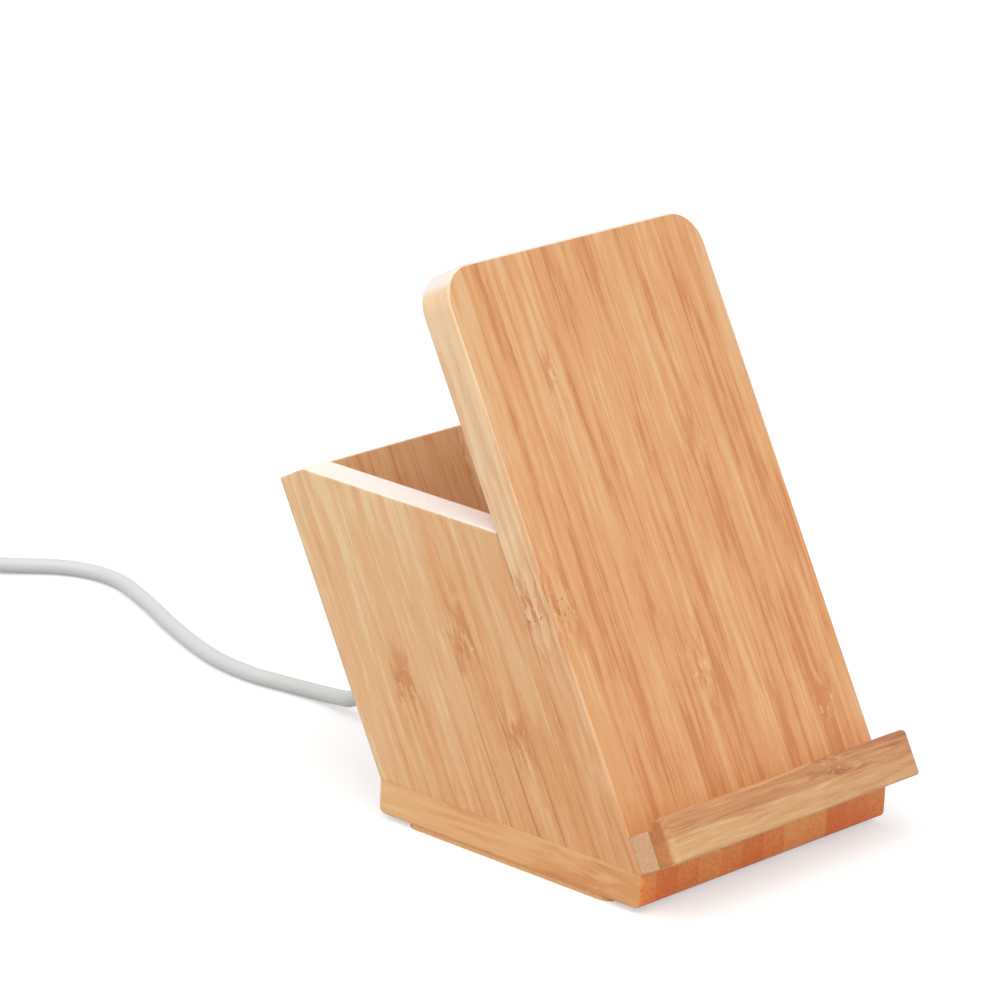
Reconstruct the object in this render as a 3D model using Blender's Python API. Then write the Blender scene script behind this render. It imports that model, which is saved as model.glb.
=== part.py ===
"""Bamboo desk stand with a leaning backrest and a deep well behind it.

A flat charging coil is set into the rear of the backrest, above the ledge.
Below the well lie a circuit board and its socket, and a cable plugs in
from the rear. All sizes are in metres and +Z is up. The origin is on the desk,
under the middle of the wooden body, and +Y runs from the ledge to the well.
"""
from math import asin, ceil, cos, pi, radians, sin, tan

import bmesh
import bpy
from mathutils import Vector

# Sizes of the wooden body
BODY_WIDTH = 0.0740
LEAN = radians(29)
BASE_DEPTH = 0.0680
BASE_THICKNESS = 0.0073
BASE_BOTTOM_RADIUS = 0.0020
BASE_SIDE_RADIUS = 0.0008
BASE_CORNER_RADIUS = 0.0008
RIM_RISE = 0.0576
SIDE_THICKNESS = 0.0078
REAR_THICKNESS = 0.0070
WELL_FLOOR_THICKNESS = 0.0030
EDGE_EASE = 0.0004

# Clearance between pieces that touch, height kept above the desk, length that a cutter runs past its wall
JOINT_GAP = 0.0003
DESK_CLEARANCE = 0.00005
CUT_OVERRUN = 0.0040

# Sizes of the backrest board and of the pocket for the coil in its back
BACKREST_LENGTH = 0.1203
BACKREST_THICKNESS = 0.0078
BACKREST_CORNER_RADIUS = 0.0075
POCKET_SKIN = 0.0026
POCKET_RADIUS = 0.0252
GROOVE_WIDTH = 0.0070

# Sizes of the ledge at the foot of the backrest
PLANK_THICKNESS = 0.0076
PLANK_DEPTH = 0.0052
LIP_HEIGHT = 0.0094
LIP_THICKNESS = 0.0044
LIP_STEP_DEPTH = 0.0011
LIP_SLOPE_DEPTH = 0.0008
LIP_CORNER_RADIUS = 0.0020
LIP_TOP_RADIUS = 0.0010
LIP_RIDGE_RADIUS = 0.0008

# Sizes of the sheet under the base
MAT_THICKNESS = 0.0007
MAT_SIDE_INSET = 0.0006
MAT_FRONT_INSET = 0.0080
MAT_REAR_INSET = 0.0065
MAT_CORNER_RADIUS = 0.0030

# Sizes of the charging coil, its shield and its lead
CHARGE_HEIGHT = 0.0620
CHARGE_WIRE = 0.0010
CHARGE_PITCH = 0.00145
CHARGE_RADIUS = 0.0215
CHARGE_TURNS = 8
CHARGE_EXIT_RADIUS = 0.0030
SHIELD_RADIUS = 0.0240
SHIELD_THICKNESS = 0.0010
COIL_LEAD_DIAMETER = 0.0014
COIL_LEAD_BEND = 0.0026
COIL_LEAD_REACH = 0.0020

# Sizes of the circuit board and of what it carries
BOARD_WIDTH = 0.0300
BOARD_LENGTH = 0.0220
BOARD_THICKNESS = 0.0010
BOARD_REAR_CLEARANCE = 0.0005
CHIP_EASE = 0.0001
CONTROLLER_SIZE = 0.0050
CONTROLLER_HEIGHT = 0.0009
POWER_CHIP_LENGTH = 0.0049
POWER_CHIP_WIDTH = 0.0039
POWER_CHIP_HEIGHT = 0.0015
CAPACITOR_LENGTH = 0.0032
CAPACITOR_WIDTH = 0.0025
CAPACITOR_HEIGHT = 0.0020
CAPACITOR_STEP = 0.0042
CAPACITOR_COUNT = 3

# Sizes of the socket and of the plug in it
SOCKET_WIDTH = 0.0093
SOCKET_HEIGHT = 0.0035
SOCKET_LENGTH = 0.0075
SOCKET_WALL = 0.00035
SOCKET_CORNER_RADIUS = 0.0015
SOCKET_BACK = 0.0008
SOCKET_OVERHANG = 0.0018
TONGUE_WIDTH = 0.0066
TONGUE_HEIGHT = 0.0007
TONGUE_SETBACK = 0.0006
PLUG_FIT = 0.0002
PLUG_WALL = 0.0004
PLUG_SHELL_LENGTH = 0.0062
PLUG_SHELL_BACK = 0.0006
PLUG_STANDOFF = 0.0005
PLUG_GRIP_WIDTH = 0.0108
PLUG_GRIP_HEIGHT = 0.0058
PLUG_GRIP_LENGTH = 0.0180
PLUG_GRIP_RADIUS = 0.0022
PLUG_GRIP_END_RADIUS = 0.0006
PLUG_UNDER_CLEARANCE = 0.00045
NOTCH_SIDE_CLEARANCE = 0.0011
NOTCH_HEADROOM = 0.00035
NOTCH_CORNER_RADIUS = 0.0020

# Sizes of the cable and of the way it lies
CABLE_DIAMETER = 0.0034
RELIEF_LENGTH = 0.0078
RELIEF_WIDE_DIAMETER = 0.0050
RELIEF_END_DIAMETER = 0.0040
RELIEF_RIB_COUNT = 3
RELIEF_RIB_DEPTH = 0.0003
CABLE_EXIT_RUN = 0.0080
CABLE_POINT_SPACING = 0.0056
CABLE_ROUTE = [
    (-0.0002, 0.0566, 0.00990),
    (-0.0005, 0.0612, 0.00660),
    (-0.0003, 0.0660, 0.00400),
    (0.0007, 0.0699, 0.00300),
    (0.0014, 0.0748, 0.00220),
    (0.0014, 0.0790, 0.00185),
    (0.0007, 0.0842, 0.00175),
    (-0.0007, 0.0941, 0.00175),
    (0.0007, 0.1067, 0.00175),
    (0.0073, 0.1248, 0.00175),
    (0.0160, 0.1440, 0.00175),
    (0.0199, 0.1570, 0.00175),
    (0.0173, 0.1682, 0.00175),
    (0.0069, 0.1786, 0.00200),
    (-0.0040, 0.1893, 0.00420),
]
STORED_CENTRE = (-0.0330, 0.1827)
STORED_HEADING = radians(53)
STORED_RADIUS = 0.0252
STORED_PITCH = 0.0039
STORED_TURNS_PER_LAYER = 3.5
STORED_TAIL = 0.0068
TIE_WIDTH = 0.0050
TIE_THICKNESS = 0.0007
TIE_CORNER_RADIUS = 0.0012
TIE_DESK_CLEARANCE = 0.0002

# Sizes of the plug at the far end of the cable
FAR_RELIEF_LENGTH = 0.0160
FAR_RELIEF_WIDE_DIAMETER = 0.0058
FAR_GRIP_WIDTH = 0.0154
FAR_GRIP_HEIGHT = 0.0076
FAR_GRIP_LENGTH = 0.0240
FAR_GRIP_RADIUS = 0.0018
FAR_GRIP_TAPER = 0.0012
FAR_SHELL_WIDTH = 0.0120
FAR_SHELL_HEIGHT = 0.0045
FAR_SHELL_LENGTH = 0.0120
FAR_SHELL_WALL = 0.0004
FAR_SHELL_CORNER_RADIUS = 0.0006
FAR_SHELL_BACK = 0.0008
FAR_TONGUE_THICKNESS = 0.0014
FAR_TONGUE_SETBACK = 0.0010

# Counts of facets
CORNER_STEPS = 4
DISC_STEPS = 48
LOOP_STEPS = 24

# Places that follow from the sizes
BASE_TOP = MAT_THICKNESS + JOINT_GAP + BASE_THICKNESS
REAR_OUTER = BASE_DEPTH * cos(LEAN)
REAR_INNER = REAR_OUTER - REAR_THICKNESS
LIP_FRONT = PLANK_DEPTH + JOINT_GAP + LIP_THICKNESS
REAR_TOP = (RIM_RISE + REAR_INNER * sin(LEAN)) / cos(LEAN)
FRONT_REACH = LIP_FRONT * cos(LEAN)
REAR_REACH = REAR_TOP * sin(LEAN) + REAR_OUTER * cos(LEAN)
FRONT_Y = (FRONT_REACH - REAR_REACH) / 2
HALF_WIDTH = BODY_WIDTH / 2
WELL_HALF_WIDTH = HALF_WIDTH - SIDE_THICKNESS
CHARGE_CENTRE = PLANK_THICKNESS + CHARGE_HEIGHT
CHARGE_DEPTH = POCKET_SKIN + JOINT_GAP + CHARGE_WIRE / 2
SHIELD_DEPTH = CHARGE_DEPTH + CHARGE_WIRE / 2 + JOINT_GAP
COVER_DEPTH = SHIELD_DEPTH + SHIELD_THICKNESS + JOINT_GAP
BOARD_STACK = JOINT_GAP + BOARD_THICKNESS + JOINT_GAP + SOCKET_HEIGHT / 2
PLUG_RISE = max(BOARD_STACK, PLUG_GRIP_HEIGHT / 2 + PLUG_UNDER_CLEARANCE)
NOTCH_RISE = PLUG_RISE + PLUG_GRIP_HEIGHT / 2 + NOTCH_HEADROOM
WELL_FLOOR_RISE = NOTCH_RISE + JOINT_GAP
CABLE_RADIUS = CABLE_DIAMETER / 2


def level(rise, depth):
    """Place along the lean where a level plane, this far above the base, cuts this depth behind the face."""
    return (rise + depth * sin(LEAN)) / cos(LEAN)


def behind(depth, rise):
    """Distance behind the base's front edge of a leaning face at this depth, at this rise above the base."""
    return depth / cos(LEAN) + rise * tan(LEAN)


def on_lean(place, depth):
    """Distance behind the front edge and rise above the base of a spot on the leaning frame."""
    return (place * sin(LEAN) + depth * cos(LEAN), place * cos(LEAN) - depth * sin(LEAN))


def paint(name, code, roughness, metallic=0.0):
    """Material of a plain sRGB colour, given as six hexadecimal digits."""
    material = bpy.data.materials.new(name)
    material.use_nodes = True
    colour = []
    for place in (0, 2, 4):
        value = int(code[place:place + 2], 16) / 255
        colour.append(value / 12.92 if value <= 0.04045 else ((value + 0.055) / 1.055) ** 2.4)
    shader = material.node_tree.nodes["Principled BSDF"]
    shader.inputs["Base Color"].default_value = (colour[0], colour[1], colour[2], 1.0)
    shader.inputs["Roughness"].default_value = roughness
    shader.inputs["Metallic"].default_value = metallic
    return material


def frame(name, location, rotation=(0, 0, 0), parent=None):
    """Empty that carries a group of pieces."""
    item = bpy.data.objects.new(name, None)
    item.location = location
    item.rotation_euler = rotation
    item.parent = parent
    bpy.context.collection.objects.link(item)
    return item


def piece(name, data, material, location=(0, 0, 0), parent=None):
    """Object with its own material, placed in its parent's frame."""
    item = bpy.data.objects.new(name, data)
    item.location = location
    item.parent = parent
    data.materials.append(material)
    bpy.context.collection.objects.link(item)
    return item


def filleted(corners, radii, steps=CORNER_STEPS):
    """Outline whose corners are rounded, each by its own radius."""
    outline = []
    count = len(corners)
    for index, corner in enumerate(corners):
        here = Vector(corner)
        radius = radii[index]
        if radius == 0:
            outline.append(here)
            continue
        back = (Vector(corners[index - 1]) - here).normalized()
        ahead = (Vector(corners[(index + 1) % count]) - here).normalized()
        half = back.angle(ahead) / 2
        centre = here + (back + ahead).normalized() * (radius / sin(half))
        start = here + back * (radius / tan(half)) - centre
        finish = here + ahead * (radius / tan(half)) - centre
        for step in range(steps + 1):
            outline.append(centre + start.slerp(finish, step / steps).normalized() * radius)
    return outline


def rectangle(width, height):
    """Corners of a rectangle about the centre."""
    return [
        (-width / 2, -height / 2),
        (width / 2, -height / 2),
        (width / 2, height / 2),
        (-width / 2, height / 2),
    ]


def prism(outline, low, high, axis):
    """Mesh that runs along an axis from low to high, with the outline across it."""
    across = {"X": (1, 2), "Y": (0, 2), "Z": (0, 1)}[axis]
    along = "XYZ".index(axis)
    bm = bmesh.new()
    ring = []
    for point in outline:
        corner = [0.0, 0.0, 0.0]
        corner[across[0]] = point[0]
        corner[across[1]] = point[1]
        corner[along] = low
        ring.append(bm.verts.new(corner))
    face = bm.faces.new(ring)
    grown = bmesh.ops.extrude_face_region(bm, geom=[face])
    shift = [0.0, 0.0, 0.0]
    shift[along] = high - low
    moved = [part for part in grown["geom"] if isinstance(part, bmesh.types.BMVert)]
    bmesh.ops.translate(bm, vec=shift, verts=moved)
    bmesh.ops.recalc_face_normals(bm, faces=bm.faces)
    mesh = bpy.data.meshes.new("prism")
    bm.to_mesh(mesh)
    bm.free()
    return mesh


def box(width, length, height):
    """Mesh of a block that stands on its own origin."""
    return prism(rectangle(width, length), 0, height, "Z")


def hollow(outline, length, wall, back, opens_forward):
    """Mesh of a sheath along Y: the outline with a pocket sunk from one end, leaving a wall and a back."""
    mesh = prism(outline, 0, length, "Y")
    bm = bmesh.new()
    bm.from_mesh(mesh)
    bm.faces.ensure_lookup_table()
    mouth_y = length if opens_forward else 0
    mouth = min(bm.faces, key=lambda face: abs(face.calc_center_median().y - mouth_y))
    bmesh.ops.inset_region(bm, faces=[mouth], thickness=wall, use_even_offset=True)
    grown = bmesh.ops.extrude_face_region(bm, geom=[mouth])
    moved = [part for part in grown["geom"] if isinstance(part, bmesh.types.BMVert)]
    depth = back - length if opens_forward else length - back
    bmesh.ops.translate(bm, vec=(0, depth, 0), verts=moved)
    bmesh.ops.delete(bm, geom=[mouth], context="FACES_ONLY")
    bmesh.ops.recalc_face_normals(bm, faces=bm.faces)
    bm.to_mesh(mesh)
    bm.free()
    return mesh


def round_edges(item, radius_of, segments):
    """Round each edge by the radius that the rule gives for its middle and its direction."""
    mesh = item.data
    radii = []
    for edge in mesh.edges:
        first = mesh.vertices[edge.vertices[0]].co
        second = mesh.vertices[edge.vertices[1]].co
        radii.append(radius_of((first + second) / 2, (second - first).normalized()))
    widest = max(radii)
    weights = mesh.attributes.new("bevel_weight_edge", "FLOAT", "EDGE")
    for index, radius in enumerate(radii):
        weights.data[index].value = radius / widest
    bevel = item.modifiers.new("rounded_edges", "BEVEL")
    bevel.limit_method = "WEIGHT"
    bevel.width = widest
    bevel.segments = segments


def ease_edges(item, width, segments=2):
    """Take the sharpness off every edge that turns by more than an arc's own facets."""
    bevel = item.modifiers.new("eased_edges", "BEVEL")
    bevel.limit_method = "ANGLE"
    bevel.angle_limit = radians(40)
    bevel.width = width
    bevel.segments = segments


def cut(item, cutter):
    """Take the cutter's shape out of the piece."""
    cutter.hide_render = True
    cutter.display_type = "WIRE"
    boolean = item.modifiers.new("cut_" + cutter.name, "BOOLEAN")
    boolean.operation = "DIFFERENCE"
    boolean.solver = "EXACT"
    boolean.object = cutter


def tube(name, points, radius, material, resolution, location=(0, 0, 0), parent=None, scales=None):
    """Round cord through the points, with closed ends."""
    data = bpy.data.curves.new(name, "CURVE")
    data.dimensions = "3D"
    spline = data.splines.new("POLY")
    spline.points.add(len(points) - 1)
    for index, point in enumerate(points):
        spline.points[index].co = (point[0], point[1], point[2], 1.0)
        if scales:
            spline.points[index].radius = scales[index]
    data.bevel_depth = radius
    data.bevel_resolution = resolution
    data.use_fill_caps = True
    spline.use_smooth = True
    return piece(name, data, material, location, parent)


def smooth_route(points, spacing, floor):
    """Evenly spaced points on a smooth curve through the route's points, none lower than the floor."""
    knots = [Vector(point) for point in points]
    slopes = []
    for index in range(len(knots)):
        first = knots[max(index - 1, 0)]
        last = knots[min(index + 1, len(knots) - 1)]
        slopes.append((last - first) / max((last - first).length, spacing / LOOP_STEPS))
    fine = []
    for index in range(len(knots) - 1):
        span = (knots[index + 1] - knots[index]).length
        for step in range(LOOP_STEPS):
            t = step / LOOP_STEPS
            fine.append(
                knots[index] * (1 + 2 * t) * (1 - t) ** 2
                + slopes[index] * span * t * (1 - t) ** 2
                + knots[index + 1] * t * t * (3 - 2 * t)
                - slopes[index + 1] * span * t * t * (1 - t)
            )
    fine.append(knots[-1])
    travelled = [0.0]
    for index in range(1, len(fine)):
        travelled.append(travelled[-1] + (fine[index] - fine[index - 1]).length)
    count = ceil(travelled[-1] / spacing)
    route = []
    cursor = 0
    for step in range(count + 1):
        target = travelled[-1] * step / count
        while cursor < len(fine) - 2 and travelled[cursor + 1] < target:
            cursor += 1
        share = (target - travelled[cursor]) / (travelled[cursor + 1] - travelled[cursor])
        point = fine[cursor].lerp(fine[cursor + 1], min(max(share, 0), 1))
        point.z = max(point.z, floor)
        route.append(point)
    return route


def length_of(points):
    """Length of a chain of points."""
    return sum((Vector(points[i]) - Vector(points[i - 1])).length for i in range(1, len(points)))


def least_gap(points, diameter, skip):
    """Least gap between a wound cord's surface and itself, measured between points some way apart along it."""
    nearest = None
    for index, point in enumerate(points):
        for other in range(index + skip, len(points)):
            distance = (Vector(point) - Vector(points[other])).length
            if nearest is None or distance < nearest:
                nearest = distance
    return nearest - diameter


def build_body(stand, lean):
    """Boards of the stand, glued to each other with thin joint lines."""
    front_grain = paint("bamboo_end_grain", "CE7F48", 0.55)
    side_grain = paint("bamboo_side_grain", "DFB080", 0.50)
    face_grain = paint("bamboo_face", "C98550", 0.50)
    ledge_grain = paint("bamboo_ledge", "D4A67C", 0.50)
    cork = paint("cork_sheet", "8A5C3A", 0.90)

    mat_length = BASE_DEPTH - MAT_FRONT_INSET - MAT_REAR_INSET
    mat_outline = filleted(rectangle(BODY_WIDTH - 2 * MAT_SIDE_INSET, mat_length), [MAT_CORNER_RADIUS] * 4)
    mat_y = FRONT_Y + MAT_FRONT_INSET + mat_length / 2
    piece("foot_mat", prism(mat_outline, 0, MAT_THICKNESS, "Z"), cork, (0, mat_y, 0), stand)

    base_z = MAT_THICKNESS + JOINT_GAP
    base_y = FRONT_Y + BASE_DEPTH / 2
    base = piece("base_board", box(BODY_WIDTH, BASE_DEPTH, BASE_THICKNESS), front_grain, (0, base_y, base_z), stand)

    def base_rule(middle, direction):
        if abs(direction.z) > 0.5:
            return BASE_CORNER_RADIUS
        if middle.z > BASE_THICKNESS / 2:
            return EDGE_EASE
        return BASE_BOTTOM_RADIUS if abs(direction.x) > 0.5 else BASE_SIDE_RADIUS

    round_edges(base, base_rule, CORNER_STEPS)

    # The side panels stand between the backrest and the rear wall, cut level at the base and at the rim
    front_depth = BACKREST_THICKNESS + JOINT_GAP
    rear_depth = REAR_INNER - JOINT_GAP
    panel_outline = [
        (front_depth, level(JOINT_GAP, front_depth)),
        (rear_depth, level(JOINT_GAP, rear_depth)),
        (rear_depth, level(RIM_RISE, rear_depth)),
        (front_depth, level(RIM_RISE, front_depth)),
    ]
    panel_x = HALF_WIDTH - SIDE_THICKNESS / 2
    for name, x in (("side_panel_left", -panel_x), ("side_panel_right", panel_x)):
        panel_mesh = prism(panel_outline, -SIDE_THICKNESS / 2, SIDE_THICKNESS / 2, "X")
        ease_edges(piece(name, panel_mesh, side_grain, (x, 0, 0), lean), EDGE_EASE)

    rear_outline = [
        (REAR_INNER, level(JOINT_GAP, REAR_INNER)),
        (REAR_OUTER, level(JOINT_GAP, REAR_OUTER)),
        (REAR_OUTER, REAR_TOP),
        (REAR_INNER, REAR_TOP),
    ]
    rear = piece("rear_wall", prism(rear_outline, -HALF_WIDTH, HALF_WIDTH, "X"), side_grain, (0, 0, 0), lean)
    ease_edges(rear, EDGE_EASE)

    # The notch lets the plug through the foot of the rear wall
    notch_half = PLUG_GRIP_WIDTH / 2 + NOTCH_SIDE_CLEARANCE
    notch_corners = [
        (-notch_half, -CUT_OVERRUN),
        (notch_half, -CUT_OVERRUN),
        (notch_half, NOTCH_RISE),
        (-notch_half, NOTCH_RISE),
    ]
    notch_outline = filleted(notch_corners, [0, 0, NOTCH_CORNER_RADIUS, NOTCH_CORNER_RADIUS])
    notch_start = behind(REAR_INNER, 0) - CUT_OVERRUN
    notch_finish = behind(REAR_OUTER, NOTCH_RISE) + CUT_OVERRUN
    notch_mesh = prism(notch_outline, notch_start, notch_finish, "Y")
    notch = piece("notch_cutter", notch_mesh, cork, (0, FRONT_Y, BASE_TOP), stand)
    cut(rear, notch)

    # The backrest board has rounded top corners and a level foot
    foot = level(JOINT_GAP, 0)
    board_corners = [
        (-HALF_WIDTH, foot),
        (HALF_WIDTH, foot),
        (HALF_WIDTH, BACKREST_LENGTH),
        (-HALF_WIDTH, BACKREST_LENGTH),
    ]
    top_radius = BACKREST_CORNER_RADIUS
    board_outline = filleted(board_corners, [0, 0, top_radius, top_radius], 2 * CORNER_STEPS)
    board_mesh = prism(board_outline, 0, BACKREST_THICKNESS, "Y")
    for vertex in board_mesh.vertices:
        if vertex.co.z < foot + EDGE_EASE:
            vertex.co.z = level(JOINT_GAP, vertex.co.y)
    backrest = piece("backrest_board", board_mesh, face_grain, (0, 0, 0), lean)
    ease_edges(backrest, EDGE_EASE)
    pocket_foot = foot - CUT_OVERRUN
    pocket_mesh = prism(
        keyhole(POCKET_RADIUS, GROOVE_WIDTH / 2, pocket_foot),
        POCKET_SKIN,
        BACKREST_THICKNESS + CUT_OVERRUN,
        "Y",
    )
    cut(backrest, piece("pocket_cutter", pocket_mesh, cork, (0, 0, 0), lean))

    # The cover fills the pocket flush with the back of the board, down to the well floor
    cover_mesh = prism(
        keyhole(POCKET_RADIUS - JOINT_GAP, GROOVE_WIDTH / 2 - JOINT_GAP, level(WELL_FLOOR_RISE, BACKREST_THICKNESS)),
        COVER_DEPTH,
        BACKREST_THICKNESS,
        "Y",
    )
    piece("pocket_cover", cover_mesh, side_grain, (0, 0, 0), lean)

    # The floor of the well leans at both ends, as the boards that it is glued between
    floor_front = BACKREST_THICKNESS + JOINT_GAP
    floor_top = WELL_FLOOR_RISE + WELL_FLOOR_THICKNESS
    floor_outline = [
        (behind(floor_front, WELL_FLOOR_RISE), WELL_FLOOR_RISE),
        (behind(rear_depth, WELL_FLOOR_RISE), WELL_FLOOR_RISE),
        (behind(rear_depth, floor_top), floor_top),
        (behind(floor_front, floor_top), floor_top),
    ]
    floor_half = WELL_HALF_WIDTH - JOINT_GAP
    floor_mesh = prism(floor_outline, -floor_half, floor_half, "X")
    piece("well_floor", floor_mesh, side_grain, (0, FRONT_Y, BASE_TOP), stand)

    # The ledge is a plank on the face and a lip along its front, which steps up a little way from the plank
    plank_outline = [
        (-PLANK_DEPTH, 0),
        (-JOINT_GAP, 0),
        (-JOINT_GAP, PLANK_THICKNESS),
        (-PLANK_DEPTH, PLANK_THICKNESS),
    ]
    plank = piece("ledge_plank", prism(plank_outline, -HALF_WIDTH, HALF_WIDTH, "X"), ledge_grain, (0, 0, 0), lean)
    ease_edges(plank, EDGE_EASE / 2, 1)

    lip_back = -PLANK_DEPTH - JOINT_GAP
    lip_foot = lip_back - LIP_STEP_DEPTH
    lip_ridge = lip_foot - LIP_SLOPE_DEPTH
    lip_corners = [
        (-HALF_WIDTH, -LIP_FRONT),
        (HALF_WIDTH, -LIP_FRONT),
        (HALF_WIDTH, lip_ridge),
        (HALF_WIDTH, lip_foot),
        (HALF_WIDTH, lip_back),
        (-HALF_WIDTH, lip_back),
        (-HALF_WIDTH, lip_foot),
        (-HALF_WIDTH, lip_ridge),
    ]
    lip_radius = LIP_CORNER_RADIUS
    lip_mesh = prism(filleted(lip_corners, [lip_radius, lip_radius, 0, 0, 0, 0, 0, 0]), 0, LIP_HEIGHT, "Z")
    bm = bmesh.new()
    bm.from_mesh(lip_mesh)
    for crease in (lip_ridge, lip_foot):
        ends = [v for v in bm.verts if abs(v.co.y - crease) < EDGE_EASE / 2 and v.co.z > LIP_HEIGHT / 2]
        bmesh.ops.connect_verts(bm, verts=ends)
    for vertex in bm.verts:
        if vertex.co.y > lip_ridge + EDGE_EASE and vertex.co.z > LIP_HEIGHT / 2:
            vertex.co.z = PLANK_THICKNESS
    bmesh.ops.recalc_face_normals(bm, faces=bm.faces)
    bm.to_mesh(lip_mesh)
    bm.free()
    lip = piece("ledge_lip", lip_mesh, ledge_grain, (0, 0, 0), lean)

    def lip_rule(middle, direction):
        if middle.y > lip_back - EDGE_EASE or abs(direction.z) > 0.9:
            return 0.0
        if middle.z < LIP_HEIGHT / 2:
            return EDGE_EASE
        if abs(middle.y - lip_ridge) < EDGE_EASE / 2:
            return LIP_RIDGE_RADIUS
        return 0.0 if middle.y > lip_ridge else LIP_TOP_RADIUS

    round_edges(lip, lip_rule, CORNER_STEPS)


def keyhole(radius, half_width, foot):
    """Outline of a disc about the charging centre, with a strip from it down to the foot."""
    opening = asin(half_width / radius)
    outline = [(half_width, foot)]
    for step in range(DISC_STEPS + 1):
        angle = -pi / 2 + opening + (2 * pi - 2 * opening) * step / DISC_STEPS
        outline.append((radius * cos(angle), CHARGE_CENTRE + radius * sin(angle)))
    outline.append((-half_width, foot))
    return outline


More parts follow.
